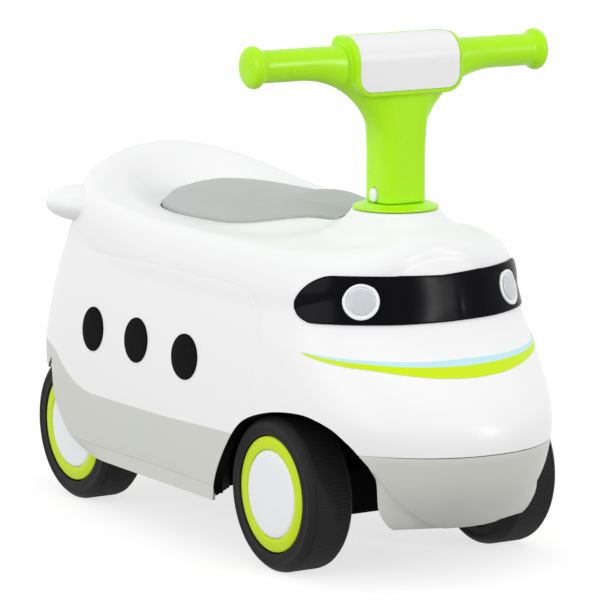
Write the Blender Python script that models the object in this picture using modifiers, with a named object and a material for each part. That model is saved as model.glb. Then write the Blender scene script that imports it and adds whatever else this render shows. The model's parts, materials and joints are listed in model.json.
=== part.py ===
"""Ride-on car for a small child: hollow plastic body with a lidded seat bin, steered front axle and four wheels.

Metres. X is across the car, -Y is the front, +Z is up. Lengths along Y are measured from mid-wheelbase, and
one empty moves the whole car so that its box is centred on the origin with the tyres standing on Z = 0.
"""

import math

import bmesh
import bpy
from mathutils import Matrix, Vector

# Walls and clearances
WALL = 0.003
THIN_WALL = 0.0022
GAP = 0.0004
RUNNING_GAP = 0.0005

# Wheels and axles
WHEELBASE = 0.328
WHEEL_RADIUS = 0.063
TYRE_WIDTH = 0.041
WHEEL_FACE = 0.118
REAR_WHEEL_FACE = 0.1182
RIM_RADIUS = 0.047
HUB_CAP_RADIUS = 0.0353
AXLE_RADIUS = 0.004

# Body: half width and reaches at the widest level, then how far each level stands in from them
BODY_HALF_WIDTH = 0.1255
NOSE_REACH = 0.3085
TAIL_REACH = 0.270
FRONT_START = -0.100
REAR_START = 0.100
TAIL_POWER = 3.3
SIDE_INSET = ((0.040, 0.0080), (0.056, 0.0015), (0.080, 0.0003), (0.101, 0.0), (0.130, 0.0010), (0.160, 0.0033),
              (0.200, 0.0085), (0.235, 0.0155), (0.262, 0.0255), (0.300, 0.0300))
NOSE_INSET = ((0.040, 0.0350), (0.055, 0.0225), (0.075, 0.0100), (0.095, 0.0028), (0.110, 0.0), (0.124, 0.0017),
              (0.140, 0.0095), (0.157, 0.0225), (0.180, 0.0465), (0.2015, 0.0670), (0.240, 0.0775),
              (0.256, 0.0865), (0.276, 0.1000))
TAIL_INSET = ((0.040, 0.0380), (0.060, 0.0250), (0.090, 0.0080), (0.130, 0.0), (0.165, 0.0075), (0.200, 0.0200),
              (0.236, 0.0345), (0.277, 0.0470), (0.300, 0.0540))
NOSE_POWER = ((0.040, 1.85), (0.060, 1.98), (0.080, 2.1), (0.108, 2.2), (0.157, 2.4), (0.200, 2.7),
              (0.240, 2.6), (0.276, 2.2))
SEAM_HEIGHT = ((-0.300, 0.108), (-0.100, 0.1045), (0.000, 0.101), (0.115, 0.100), (0.140, 0.104), (0.165, 0.1145),
               (0.190, 0.128), (0.210, 0.131))

# Top of the body: the rim it rounds over to, the levels round the seat, the steering mound and the backrest
RIM_HALF_WIDTH = 0.098
RIM_FRONT = -0.206
RIM_FRONT_POWER = 2.4
BACKREST_CENTRE_Y = 0.125
BACKREST_REACH = 0.088
BACKREST_RISE = 0.035
SHOULDER_DROP = 0.048
CREST_DROP = 0.020
SHOULDER_POWER = 2.2
SEAT_LEVEL = ((-0.205, 0.2555), (-0.164, 0.256), (-0.118, 0.2600), (-0.090, 0.2620), (-0.060, 0.2600),
              (-0.030, 0.2570), (0.000, 0.2555), (0.060, 0.2553), (0.165, 0.2540))
SHOULDER_LEVEL = ((-0.205, 0.2500), (-0.120, 0.2520), (-0.040, 0.2545), (0.000, 0.2555), (0.050, 0.2565),
                  (0.100, 0.2600),
                  (0.135, 0.2635), (0.220, 0.2620))
MOUND_RISE = 0.0225
MOUND_RADIUS = 0.038
MOUND_SPREAD = 0.035
SEAT_SIDE_SPREAD = 0.35
BOSS_RISE = 0.010269
BOSS_RADIUS = 0.0365
BOSS_FOOT_RADIUS = 0.0435
BOSS_HEIGHT = 0.0095
CUT_BEYOND = 0.010

# Seat opening and lid
SEAT_HALF_WIDTH = 0.0665
SEAT_CENTRE_Y = 0.050
SEAT_REAR = 0.165
SEAT_FRONT = -0.1275
NECK_NARROWING = ((-0.1175, 0.0365), (-0.100, 0.0325), (-0.080, 0.0255), (-0.060, 0.0185), (-0.030, 0.0085),
                  (0.000, 0.0030), (0.050, 0.0))
LID_GAP = 0.0012
LID_CROWN = 0.0160
LID_FRONT_RISE = ((-0.1205, 0.0004), (-0.112, 0.0020), (-0.100, 0.0040), (-0.085, 0.0058), (-0.060, 0.0074),
                  (-0.020, 0.0070), (0.165, 0.0070))
LID_WALL = 0.0028
LID_FRONT = -0.1202
LID_NECK_EASE = 0.0014
LID_NECK_FLATTENING = 0.65
LID_HINGE_Y = -0.098
LID_HINGE_Z = 0.268
HINGE_PIN_RADIUS = 0.002
KNUCKLE_RADIUS = 0.0055
KNUCKLE_OFFSET = 0.015
KNUCKLE_WIDTH = 0.006
KNUCKLE_WEB_TOP = 0.2755
LUG_INNER = 0.0195
LUG_OUTER = 0.0225
LUG_RADIUS = 0.0042
LUG_FOOT = 0.2384
BIN_FLANGE = 0.007
BIN_LEDGE = 0.005
BIN_HALF_WIDTH = 0.054
BIN_FRONT = -0.058
BIN_REAR = 0.145

# Skirt, deck and wheel arches
SKIRT_BOTTOM = 0.0443
SEAM_LIFT = 0.0007
UPSTAND_RISE = 0.016
UPSTAND_GAP = 0.0010
UPSTAND_LEAN = 0.0012
DECK_BOTTOM = 0.1285
DECK_THICKNESS = 0.003
FRONT_ARCH = ((-0.0830, 0.020), (-0.0835, 0.044), (-0.0890, 0.064), (-0.1010, 0.0845), (-0.1172, 0.1055),
              (-0.1300, 0.1168), (-0.1450, 0.1240), (-0.1640, 0.1295), (-0.1800, 0.1322), (-0.1960, 0.1332),
              (-0.2100, 0.1320), (-0.2289, 0.1260), (-0.2410, 0.1180), (-0.2509, 0.1086), (-0.2628, 0.0903),
              (-0.2689, 0.0725), (-0.2715, 0.0560), (-0.2720, 0.0440), (-0.2720, 0.020))
ARCH_TOP_STEP = 9
LINER_X = 0.100
LINER_Y = -0.0694
RETURN_WALL_Y = -0.256
RETURN_WALL_X = ((0.040, 0.0560), (0.0441, 0.0600), (0.0491, 0.0668), (0.0644, 0.0752), (0.0849, 0.0767),
                 (0.100, 0.0860))
HOUSING_BOTTOM = 0.1345
HOUSING_THICKNESS = 0.0025
HOUSING_FRONT = -0.250
HOUSING_REAR = -0.0632
HOUSING_WALL_X = 0.098
HOUSING_WALL_BOTTOM = 0.050
DECK_FRONT = -0.0605
REAR_NOTCH_START = 0.106
REAR_NOTCH_TOP = 0.110
REAR_NOTCH_LENGTH = 0.088
REAR_NOTCH_SIDE = 0.064
AXLE_BRACKET_X = 0.055
AXLE_BRACKET_THICKNESS = 0.006

# Tail fins
FIN_CENTRE = (0.090, 0.184, 0.2525)
FIN_LENGTH = 0.036
FIN_BREADTH = 0.028
FIN_HEIGHT = 0.016
FIN_TURN = 45.0

# Steering
SHAFT_RADIUS = 0.0135
SHAFT_BORE = 0.0105
SHAFT_BELOW_BAR = 0.059
BUSH_WALL = 0.0042
COLLAR_RADIUS = 0.0345
COLLAR_STEP_RADIUS = 0.0285
COLLAR_THICKNESS = 0.0046
COLUMN_HALF_WIDTH = 0.0202
COLUMN_HALF_DEPTH = 0.0188
COLUMN_POWER = 4.0
BAR_HEIGHT = 0.404
BAR_REACH = 0.128
GRIP_RADIUS = 0.013
KNOB_RADIUS = 0.017
KNOB_HALF_WIDTH = 0.0065
KNOB_CENTRE = 0.133
FLARE_DROP = 0.076
NECK_DROP = 0.044
FLARE_REACH = 0.091
PAD_HALF_WIDTH = 0.0507
PAD_FRONT = 0.022
PAD_BACK = 0.018
PAD_DROP = 0.0275
PAD_RISE = 0.020
PAD_RIM = 0.0040
PAD_CORNER = 0.016
COVER_THICKNESS = 0.0016
COVER_DROP = 0.0005
COVER_CORNER = 0.011
BUTTON_STAND_OFF = 0.0008
BUTTON_HALF_TALL = 0.0058
BUTTON_HALF_WIDE = 0.0050
BUTTON_STAND = 0.0022
BUTTON_TRAVEL = 0.004
SPRING_RADIUS = 0.0034
SPRING_REACH = 0.0074
CARRIER_BOTTOM = 0.041
CARRIER_TOP = 0.080
CARRIER_HALF_DEPTH = 0.014
SOCKET_TOP = 0.112

# Front panel and side window discs
VISOR_GAP = 0.0008
VISOR_THICKNESS = 0.0012
VISOR_BOTTOM = 0.2015
VISOR_TOP = 0.240
VISOR_REACH = 0.63
WINDOW_RADIUS = 0.0187
WINDOW_HEIGHT = 0.1553
WINDOW_Y = (-0.037, 0.043, 0.116)
WINDOW_THICKNESS = 0.0008

# Screws
SCREW_RADIUS = 0.0016
SCREW_HEAD_RADIUS = 0.0034
SCREW_HEAD_HEIGHT = 0.0022
LOW_SCREW_DROP = 0.042
HIGH_SCREW_X = 0.0530
BODY_SCREWS = ((0.108, -0.040), (0.108, 0.085))
HOUSING_SCREW = (0.107, -0.112)
BUMPER_SCREW = (0.045, -0.268)

# How finely the rings are divided: nose to side, side, side to tail
BODY_COUNTS = (10, 4, 8)
SEAT_COUNTS = (6, 4, 6)
BIN_COUNTS = (6, 4, 4)

STEER_Y = -WHEELBASE / 2
FLARE_BOTTOM = BAR_HEIGHT - FLARE_DROP
NECK_HEIGHT = BAR_HEIGHT - NECK_DROP
PAD_BOTTOM = BAR_HEIGHT - PAD_DROP
PAD_TOP = BAR_HEIGHT + PAD_RISE
SHAFT_TOP = BAR_HEIGHT - SHAFT_BELOW_BAR
LOW_SCREW_HEIGHT = BAR_HEIGHT - LOW_SCREW_DROP
REAR_AXLE_Y = WHEELBASE / 2
AXLE_Z = WHEEL_RADIUS
WHEEL_CENTRE = WHEEL_FACE - TYRE_WIDTH / 2
REAR_WHEEL_CENTRE = REAR_WHEEL_FACE - TYRE_WIDTH / 2
BOX_SHIFT = (NOSE_REACH - TAIL_REACH) / 2


def clear_scene():
    for item in list(bpy.data.objects):
        bpy.data.objects.remove(item, do_unlink=True)


clear_scene()
PARTS = bpy.data.collections.new("ride_on_car")
CUTTERS = bpy.data.collections.new("cutters")
bpy.context.scene.collection.children.link(PARTS)
bpy.context.scene.collection.children.link(CUTTERS)
CAR = bpy.data.objects.new("car_origin", None)
CAR.location = (0, BOX_SHIFT, 0)
PARTS.objects.link(CAR)


def plastic(name, colour, roughness, metallic=0.0):
    made = bpy.data.materials.new(name)
    made.use_nodes = True
    shader = made.node_tree.nodes["Principled BSDF"]
    shader.inputs["Base Color"].default_value = (*colour, 1.0)
    shader.inputs["Roughness"].default_value = roughness
    shader.inputs["Metallic"].default_value = metallic
    made.diffuse_color = (*colour, 1.0)
    return made


WHITE = plastic("white_plastic", (0.93, 0.93, 0.94), 0.28)
GREY = plastic("warm_grey_plastic", (0.60, 0.61, 0.57), 0.40)
SEAT_GREY = plastic("seat_grey_plastic", (0.47, 0.50, 0.48), 0.45)
LIME = plastic("lime_plastic", (0.36, 0.80, 0.01), 0.25)
WHEEL_LIME = plastic("wheel_lime_plastic", (0.58, 0.78, 0.01), 0.35)
TYRE_BLACK = plastic("tyre_rubber", (0.02, 0.02, 0.022), 0.60)
BLACK = plastic("black_plastic", (0.012, 0.012, 0.013), 0.35)
PALE_GREY = plastic("pale_grey_plastic", (0.78, 0.78, 0.80), 0.35)
STEEL = plastic("zinc_steel", (0.60, 0.61, 0.63), 0.30, 1.0)


def smooth_step(value):
    value = min(max(value, 0.0), 1.0)
    return value * value * (3 - 2 * value)


def curve_through(points):
    """A smooth curve through (position, value) points that never overshoots them."""
    xs = [p[0] for p in points]
    ys = [p[1] for p in points]
    slopes = [(ys[i + 1] - ys[i]) / (xs[i + 1] - xs[i]) for i in range(len(xs) - 1)]
    tangents = [slopes[0]]
    for before, after in zip(slopes, slopes[1:]):
        tangents.append(0.0 if before * after <= 0 else 2 * before * after / (before + after))
    tangents.append(slopes[-1])

    def value(x):
        x = min(max(x, xs[0]), xs[-1])
        i = min(max(i for i in range(len(xs)) if xs[i] <= x), len(xs) - 2)
        span = xs[i + 1] - xs[i]
        t = (x - xs[i]) / span
        return (ys[i] * (1 + 2 * t) * (1 - t) ** 2 + span * tangents[i] * t * (1 - t) ** 2
                + ys[i + 1] * t * t * (3 - 2 * t) + span * tangents[i + 1] * t * t * (t - 1))

    return value


side_inset = curve_through(SIDE_INSET)
nose_inset = curve_through(NOSE_INSET)
tail_inset = curve_through(TAIL_INSET)
nose_power = curve_through(NOSE_POWER)
seam_height = curve_through(SEAM_HEIGHT)
seat_level = curve_through(SEAT_LEVEL)
shoulder_level = curve_through(SHOULDER_LEVEL)
neck_narrowing = curve_through(NECK_NARROWING)
lid_rise = curve_through(LID_FRONT_RISE)


def link(item, name, material, parent=CAR):
    item.name = name
    item.data.name = name
    item.data.materials.clear()
    item.data.materials.append(material)
    for collection in list(item.users_collection):
        collection.objects.unlink(item)
    PARTS.objects.link(item)
    item.parent = parent
    return item


def mesh_object(name, points, faces, material, parent=CAR):
    data = bpy.data.meshes.new(name)
    data.from_pydata([tuple(p) for p in points], [], faces)
    data.validate()
    item = bpy.data.objects.new(name, data)
    link(item, name, material, parent)
    shade(item)
    return item


def shade(item, sharp_degrees=35):
    item.data.shade_smooth()
    item.data.set_sharp_from_angle(angle=math.radians(sharp_degrees))


def cutter(item):
    for collection in list(item.users_collection):
        collection.objects.unlink(item)
    CUTTERS.objects.link(item)
    item.parent = CAR
    item.hide_render = True
    item.display_type = "WIRE"
    return item


def boolean(item, tool, operation="DIFFERENCE"):
    change = item.modifiers.new(tool.name, "BOOLEAN")
    change.operation = operation
    change.solver = "EXACT"
    change.object = cutter(tool)
    return item


def solidify(item, thickness, offset=-1.0, even=True):
    change = item.modifiers.new("wall", "SOLIDIFY")
    change.thickness = thickness
    change.offset = offset
    change.use_even_offset = even
    change.use_rim = True
    return item


def box(name, low, high):
    bpy.ops.mesh.primitive_cube_add(size=1)
    item = bpy.context.object
    item.name = name
    centre = [(a + b) / 2 for a, b in zip(low, high)]
    item.data.transform(Matrix.Translation(centre) @ Matrix.Diagonal([b - a for a, b in zip(low, high)] + [1]))
    return item


def rod(name, radius, start, end, sides=24):
    start = Vector(start)
    end = Vector(end)
    bpy.ops.mesh.primitive_cylinder_add(vertices=sides, radius=radius, depth=(end - start).length)
    item = bpy.context.object
    item.name = name
    turn = Vector((0, 0, 1)).rotation_difference(end - start).to_matrix().to_4x4()
    item.data.transform(Matrix.Translation((start + end) / 2) @ turn)
    return item


def turned(name, profile, material, steps=24, axis="Z", location=(0, 0, 0), parent=CAR, closed=True):
    """Turns a profile of (radius, height) points. A profile that starts and ends on the axis isn't closed."""
    data = bpy.data.meshes.new(name)
    points = [(r, 0, h) for r, h in profile]
    edges = [(i, i + 1) for i in range(len(points) - 1)]
    if closed:
        edges.append((len(points) - 1, 0))
    data.from_pydata(points, edges, [])
    item = bpy.data.objects.new(name, data)
    link(item, name, material, parent)
    screw = item.modifiers.new("turn", "SCREW")
    screw.axis = "Z"
    screw.steps = steps
    screw.render_steps = steps
    screw.use_merge_vertices = True
    screw.merge_threshold = 0.00001
    screw.use_smooth_shade = True
    item.location = location
    if axis in ("X", "-X"):
        item.rotation_euler = (0, math.radians(90 if axis == "X" else -90), 0)
    if axis in ("Y", "-Y"):
        item.rotation_euler = (math.radians(-90 if axis == "Y" else 90), 0, 0)
    return item


def half_count(counts):
    return sum(counts)


def plan_point(shape, k, counts):
    """Point k steps round one half of a plan outline, from the nose to the tail. Steps may be fractions."""
    width, front_start, front_end, front_power, rear_start, rear_end, rear_power = shape
    front, side, rear = counts
    if k <= front or k >= front + side:
        ahead = k <= front
        turn = math.pi / 2 * (1 - k / front if ahead else (k - front - side) / rear)
        power = front_power if ahead else rear_power
        c, s = max(math.cos(turn), 0.0), max(math.sin(turn), 0.0)
        r = (c ** power + s ** power) ** (-1 / power)
        start, end = (front_start, front_end) if ahead else (rear_start, rear_end)
        return width * c * r, start + (end - start) * s * r
    return width, front_start + (rear_start - front_start) * (k - front) / side


def body_plan(z, inset=0.0):
    return (BODY_HALF_WIDTH - side_inset(z) - inset, FRONT_START, -(NOSE_REACH - nose_inset(z) - inset),
            nose_power(z), REAR_START, TAIL_REACH - tail_inset(z) - inset, TAIL_POWER)


RIM_PLAN = (RIM_HALF_WIDTH, FRONT_START, RIM_FRONT, RIM_FRONT_POWER, BACKREST_CENTRE_Y,
            BACKREST_CENTRE_Y + BACKREST_REACH, 2.0)
BIN_PLAN = (BIN_HALF_WIDTH, -0.015, BIN_FRONT, 3.0, 0.080, BIN_REAR, 3.0)


def top_height(x, y):
    """Height of the body's top: levels round the seat, the mound under the steering, and the backrest."""
    from_seat = math.hypot(x / RIM_HALF_WIDTH, (y - 0.03) / 0.19)
    rise = smooth_step((from_seat - 0.70) / 0.25)
    level = seat_level(y) + (shoulder_level(y) - seat_level(y)) * rise
    from_column = max(math.hypot(x, y - STEER_Y) - MOUND_RADIUS, 0.0)
    spread = MOUND_SPREAD * (1 + SEAT_SIDE_SPREAD * smooth_step((y - STEER_Y) / 0.05))
    mound = MOUND_RISE * math.exp(-from_column / spread)
    back = 0.0
    if y > BACKREST_CENTRE_Y:
        ahead = (y - BACKREST_CENTRE_Y) / BACKREST_REACH
        out = math.hypot(x / (RIM_HALF_WIDTH + 0.005), ahead)
        back = BACKREST_RISE * (ahead / out) ** 1.8 * smooth_step((out - 0.5) / 0.5)
    return level + mound + back


BOSS_TOP = top_height(0.0, STEER_Y) + BOSS_RISE
BOSS_FOOT = BOSS_TOP - BOSS_HEIGHT
COLLAR_BOTTOM = BOSS_TOP + GAP * 2
COLLAR_TOP = COLLAR_BOTTOM + COLLAR_THICKNESS
BUTTON_HEIGHT = COLLAR_TOP + BUTTON_STAND_OFF + BUTTON_HALF_TALL


def ring(point, counts):
    """Whole ring from a function of k that gives (x, y, z) on the right-hand half."""
    half = half_count(counts)
    right = [point(k) for k in range(half + 1)]
    left = [(-x, y, z) for x, y, z in reversed(right[1:-1])]
    return right + left


def loft(rings, closed=True, start_cap=False, end_cap=False):
    """Skin over rings of equal length. Rings that rise while they turn anticlockwise face outwards."""
    count = len(rings[0])
    points = [p for one in rings for p in one]
    faces = []
    span = count if closed else count - 1
    for row in range(len(rings) - 1):
        for i in range(span):
            j = (i + 1) % count
            a, b = row * count, (row + 1) * count
            faces.append((a + i, a + j, b + j, b + i))
    if start_cap:
        faces.append(tuple(reversed(range(count))))
    if end_cap:
        last = (len(rings) - 1) * count
        faces.append(tuple(range(last, last + count)))
    return points, faces


def fan_to(points, faces, count, centre):
    """Closes the last ring with triangles to one centre point."""
    last = len(points) - count
    points.append(centre)
    for i in range(count):
        faces.append((last + i, last + (i + 1) % count, len(points) - 1))


def wall_point(k, z, inset=0.0, counts=BODY_COUNTS):
    x, y = plan_point(body_plan(z, inset), k, counts)
    return x, y, z


def seam_at(k, counts=BODY_COUNTS):
    return seam_height(plan_point(body_plan(0.11), k, counts)[1])


def body_column(k, counts=BODY_COUNTS, wall_rows=7, shoulder_rows=4, top_rows=4):
    """Points up the body's outer face at step k: side wall, rounded shoulder, then in to the seat opening."""
    rim_x, rim_y = plan_point(RIM_PLAN, k, counts)
    rim_z = top_height(rim_x, rim_y)
    drop = CREST_DROP + (SHOULDER_DROP - CREST_DROP) * (rim_x / RIM_HALF_WIDTH) ** 2
    low, high = seam_at(k, counts) + SEAM_LIFT, rim_z - drop
    column = [wall_point(k, low + (high - low) * row / wall_rows, 0.0, counts) for row in range(wall_rows + 1)]
    wall_x, wall_y, _ = column[-1]
    for row in range(1, shoulder_rows + 1):
        turn = math.pi / 2 * row / shoulder_rows
        out = max(math.cos(turn), 0.0) ** (2 / SHOULDER_POWER)
        up = math.sin(turn) ** (2 / SHOULDER_POWER)
        column.append((rim_x + (wall_x - rim_x) * out, rim_y + (wall_y - rim_y) * out, high + drop * up))
    seat_x, seat_y = seat_outline(k, counts)
    for row in range(1, top_rows + 1):
        x = rim_x + (seat_x - rim_x) * row / top_rows
        y = rim_y + (seat_y - rim_y) * row / top_rows
        column.append((x, y, top_height(x, y)))
    return column


def seat_half_width(y):
    """Half width of the seat opening: an ellipse behind, drawn in to a neck ahead."""
    if y > SEAT_CENTRE_Y:
        return SEAT_HALF_WIDTH * math.sqrt(max(1 - ((y - SEAT_CENTRE_Y) / (SEAT_REAR - SEAT_CENTRE_Y)) ** 2, 0.0))
    return SEAT_HALF_WIDTH - neck_narrowing(y)


def seat_edge(k, counts):
    front, side, rear = counts
    neck_y, side_front, side_rear = SEAT_FRONT + 0.010, -0.090, 0.100
    if k <= front / 2:
        turn = math.pi / 2 * k / (front / 2)
        return seat_half_width(neck_y) * math.sin(turn), SEAT_FRONT + (neck_y - SEAT_FRONT) * (1 - math.cos(turn))
    if k <= front:
        y = neck_y + (side_front - neck_y) * (k - front / 2) / (front / 2)
        return seat_half_width(y), y
    if k <= front + side:
        y = side_front + (side_rear - side_front) * (k - front) / side
        return seat_half_width(y), y
    begin = math.asin((side_rear - SEAT_CENTRE_Y) / (SEAT_REAR - SEAT_CENTRE_Y))
    turn = begin + (math.pi / 2 - begin) * (k - front - side) / rear
    return SEAT_HALF_WIDTH * math.cos(turn), SEAT_CENTRE_Y + (SEAT_REAR - SEAT_CENTRE_Y) * math.sin(turn)


def seat_outline(k, counts, inset=0.0):
    """Edge of the seat opening at step k, moved inwards by inset."""
    half = half_count(counts)
    x, y = seat_edge(k, counts)
    if inset == 0.0:
        return max(x, 0.0), y
    ax, ay = seat_edge(max(k - 0.05, 0), counts)
    bx, by = seat_edge(min(k + 0.05, half), counts)
    if k == 0:
        return 0.0, y + inset
    if k == half:
        return 0.0, y - inset
    length = math.hypot(bx - ax, by - ay)
    return max(x - inset * (by - ay) / length, 0.0), y + inset * (bx - ax) / length


def arch_cutter(growth=0.0):
    """Prism across the car under the front wheel arches."""
    outline = [(y, z + growth if z > 0.05 else z) for y, z in FRONT_ARCH]
    outline[0] = (outline[0][0], -0.02)
    outline[-1] = (outline[-1][0], -0.02)
    return prism("front_arch_space", list(reversed(outline)), -0.2, 0.2)


arch_rear = curve_through([(z, y) for y, z in FRONT_ARCH[:ARCH_TOP_STEP + 1]])
arch_front = curve_through([(z, y) for y, z in reversed(FRONT_ARCH[ARCH_TOP_STEP:])])
return_wall = curve_through(RETURN_WALL_X)


def prism(name, outline, x_low, x_high):
    """Closed prism along X from a side outline of (y, z) points."""
    points = [(x_low, y, z) for y, z in outline] + [(x_high, y, z) for y, z in outline]
    n = len(outline)
    faces = [tuple(range(n)), tuple(reversed(range(n, 2 * n)))]
    faces += [(i, i + n, (i + 1) % n + n, (i + 1) % n) for i in range(n)]
    data = bpy.data.meshes.new(name)
    data.from_pydata(points, [], faces)
    item = bpy.data.objects.new(name, data)
    PARTS.objects.link(item)
    outward(item)
    return item


def outward(item):
    shape = bmesh.new()
    shape.from_mesh(item.data)
    bmesh.ops.recalc_face_normals(shape, faces=shape.faces)
    shape.to_mesh(item.data)
    shape.free()


def seat_cutter():
    """Keeps the seat opening clear of the steering boss."""
    rows = [ring(lambda k, z=z: (*seat_outline(k, BODY_COUNTS, 0.0004), z), BODY_COUNTS)
            for z in (BOSS_FOOT - CUT_BEYOND * 2, BOSS_TOP + CUT_BEYOND)]
    points, faces = loft(rows, start_cap=True, end_cap=True)
    item = mesh_object("seat_cutter", points, faces, WHITE)
    outward(item)
    return item


def make_body_shell():
    columns = [body_column(k) for k in range(half_count(BODY_COUNTS) + 1)]
    rings = []
    for row in range(len(columns[0])):
        rings.append(ring(lambda k, row=row: columns[k][row], BODY_COUNTS))
    points, faces = loft(rings)
    shell = mesh_object("body_shell", points, faces, WHITE)
    solidify(shell, WALL)
    boolean(shell, arch_cutter())
    bush = SHAFT_RADIUS + RUNNING_GAP + BUSH_WALL + GAP
    boolean(shell, rod("column_hole", bush, (0, STEER_Y, BOSS_FOOT - BOSS_RADIUS),
                        (0, STEER_Y, BOSS_TOP + CUT_BEYOND)))
    profile = [(bush + 0.0003, BOSS_TOP), (BOSS_RADIUS - 0.001, BOSS_TOP), (BOSS_RADIUS, BOSS_TOP - 0.0008),
               (BOSS_FOOT_RADIUS, BOSS_FOOT), (bush + 0.0003, BOSS_FOOT)]
    boolean(shell, turned("steering_boss", profile, WHITE, 24, "Z", (0, STEER_Y, 0)), "UNION")
    boolean(shell, seat_cutter())
    deck_top = DECK_BOTTOM + DECK_THICKNESS + GAP
    posts = [(x, y, deck_top) for x, y in BODY_SCREWS]
    posts.append((HOUSING_SCREW[0], HOUSING_SCREW[1], HOUSING_BOTTOM + HOUSING_THICKNESS + GAP))
    for side in (1, -1):
        boolean(shell, fin(side), "UNION")
        for x, y, base in posts:
            boolean(shell, rod("screw_post", 0.0055, (side * x, y, base), (side * x, y, 0.175), 8), "UNION")
            low, high = sorted((side * x, side * (side_x(y, 0.1745) - 0.0012)))
            boolean(shell, box("post_web", (low, y - 0.0016, 0.150), (high, y + 0.0016, 0.1745)), "UNION")
            boolean(shell, rod("post_bore", SCREW_RADIUS + GAP, (side * x, y, base - 0.01),
                               (side * x, y, base + 0.020), 6))
        x, y = BUMPER_SCREW
        base = bumper_tab_top() + GAP
        boolean(shell, rod("nose_post", 0.0050, (side * x, y, base), (side * x, y, 0.1622), 8), "UNION")
        boolean(shell, rod("nose_post_bore", SCREW_RADIUS + GAP, (side * x, y, base - 0.01),
                           (side * x, y, base + 0.016), 6))
    return shell


def fin(side):
    """Rounded fin that grows out of a rear corner."""
    bpy.ops.mesh.primitive_uv_sphere_add(segments=16, ring_count=8, radius=1)
    item = bpy.context.object
    item.name = "tail_fin"
    x, y, z = FIN_CENTRE
    turn = Matrix.Rotation(math.radians(FIN_TURN if side > 0 else 180 - FIN_TURN), 4, "Z")
    item.data.transform(Matrix.Translation((side * x, y, z)) @ turn
                        @ Matrix.Diagonal((FIN_LENGTH, FIN_BREADTH, FIN_HEIGHT, 1)))
    return item


def bumper_tab_top():
    return seam_height(-NOSE_REACH) + 0.0095


def skirt_column(k, bottom):
    """Skirt wall up to the seam, a step in under the body's edge, and an upstand inside the body."""
    seam = seam_at(k) - GAP / 2
    top = max(seam + UPSTAND_RISE, DECK_BOTTOM + DECK_THICKNESS)
    inner = WALL + UPSTAND_GAP
    levels = [bottom, 0.057, 0.078, seam]
    column = [wall_point(k, z) for z in levels]
    column.append(wall_point(k, seam, inner))
    column.append(wall_point(k, top, inner + UPSTAND_LEAN))
    return column


def skirt_strip(name, steps, bottom):
    """Open strip of skirt over the given steps of one side, joined to its mirror image."""
    right = [skirt_column(k, bottom) for k in steps]
    left = [[(-x, y, z) for x, y, z in column] for column in reversed(right)]
    if steps[0] == 0:
        columns = left[:-1] + right
    else:
        columns = right + left[1:]
    rings = [[column[row] for column in columns] for row in range(len(columns[0]))]
    points, faces = loft(rings, closed=False)
    item = mesh_object(name, points, faces, GREY)
    return solidify(item, THIN_WALL + 0.0003)


def deck_outline(z, inset):
    return [p[:2] for p in ring(lambda k: wall_point(k, z, inset), BODY_COUNTS)]


def plate(name, outline, low, high):
    """Flat plate from an outline of (x, y) points."""
    points = [(x, y, low) for x, y in outline] + [(x, y, high) for x, y in outline]
    n = len(outline)
    faces = [tuple(reversed(range(n))), tuple(range(n, 2 * n))]
    faces += [(i, (i + 1) % n, (i + 1) % n + n, i + n) for i in range(n)]
    data = bpy.data.meshes.new(name)
    data.from_pydata(points, [], faces)
    item = bpy.data.objects.new(name, data)
    PARTS.objects.link(item)
    return item


def rear_notch(side):
    """Space over a rear wheel: the skirt's lower rear corner is rounded off behind this line."""
    rise = REAR_NOTCH_TOP - SKIRT_BOTTOM
    outline = []
    for i in range(9):
        turn = math.pi / 2 * i / 8
        outline.append((REAR_NOTCH_START + REAR_NOTCH_LENGTH * math.sin(turn),
                        REAR_NOTCH_TOP - rise * math.cos(turn)))
    outline += [(TAIL_REACH + 0.05, REAR_NOTCH_TOP), (TAIL_REACH + 0.05, 0.0), (REAR_NOTCH_START, 0.0)]
    low, high = sorted((side * REAR_NOTCH_SIDE, side * 0.2))
    return prism("rear_wheel_space", outline, low, high)


def arch_liner(side):
    """Sheet from the skirt's arch edge inwards and back, clear of the front wheel at full lock."""
    grid = []
    seam = seam_height(-0.11)
    rows = ((0.0450, 0.0012), (0.060, 0.0012), (0.080, 0.0012), (seam - 0.006, 0.0012), (seam - 0.002, 0.0054),
            (0.118, 0.0054), (DECK_BOTTOM + 0.001, 0.0054))
    for z, inset in rows:
        y = arch_rear(z) + 0.0014
        x = side_x(y, z, inset)
        grid.append([(side * x, y, z), (side * (x + LINER_X) / 2, (y + LINER_Y) / 2, z),
                     (side * LINER_X, LINER_Y, z)])
    points, faces = loft(grid, closed=False)
    if side < 0:
        faces = [tuple(reversed(face)) for face in faces]
    item = mesh_object("arch_liner", points, faces, GREY)
    return solidify(item, THIN_WALL, 0.0)


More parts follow.
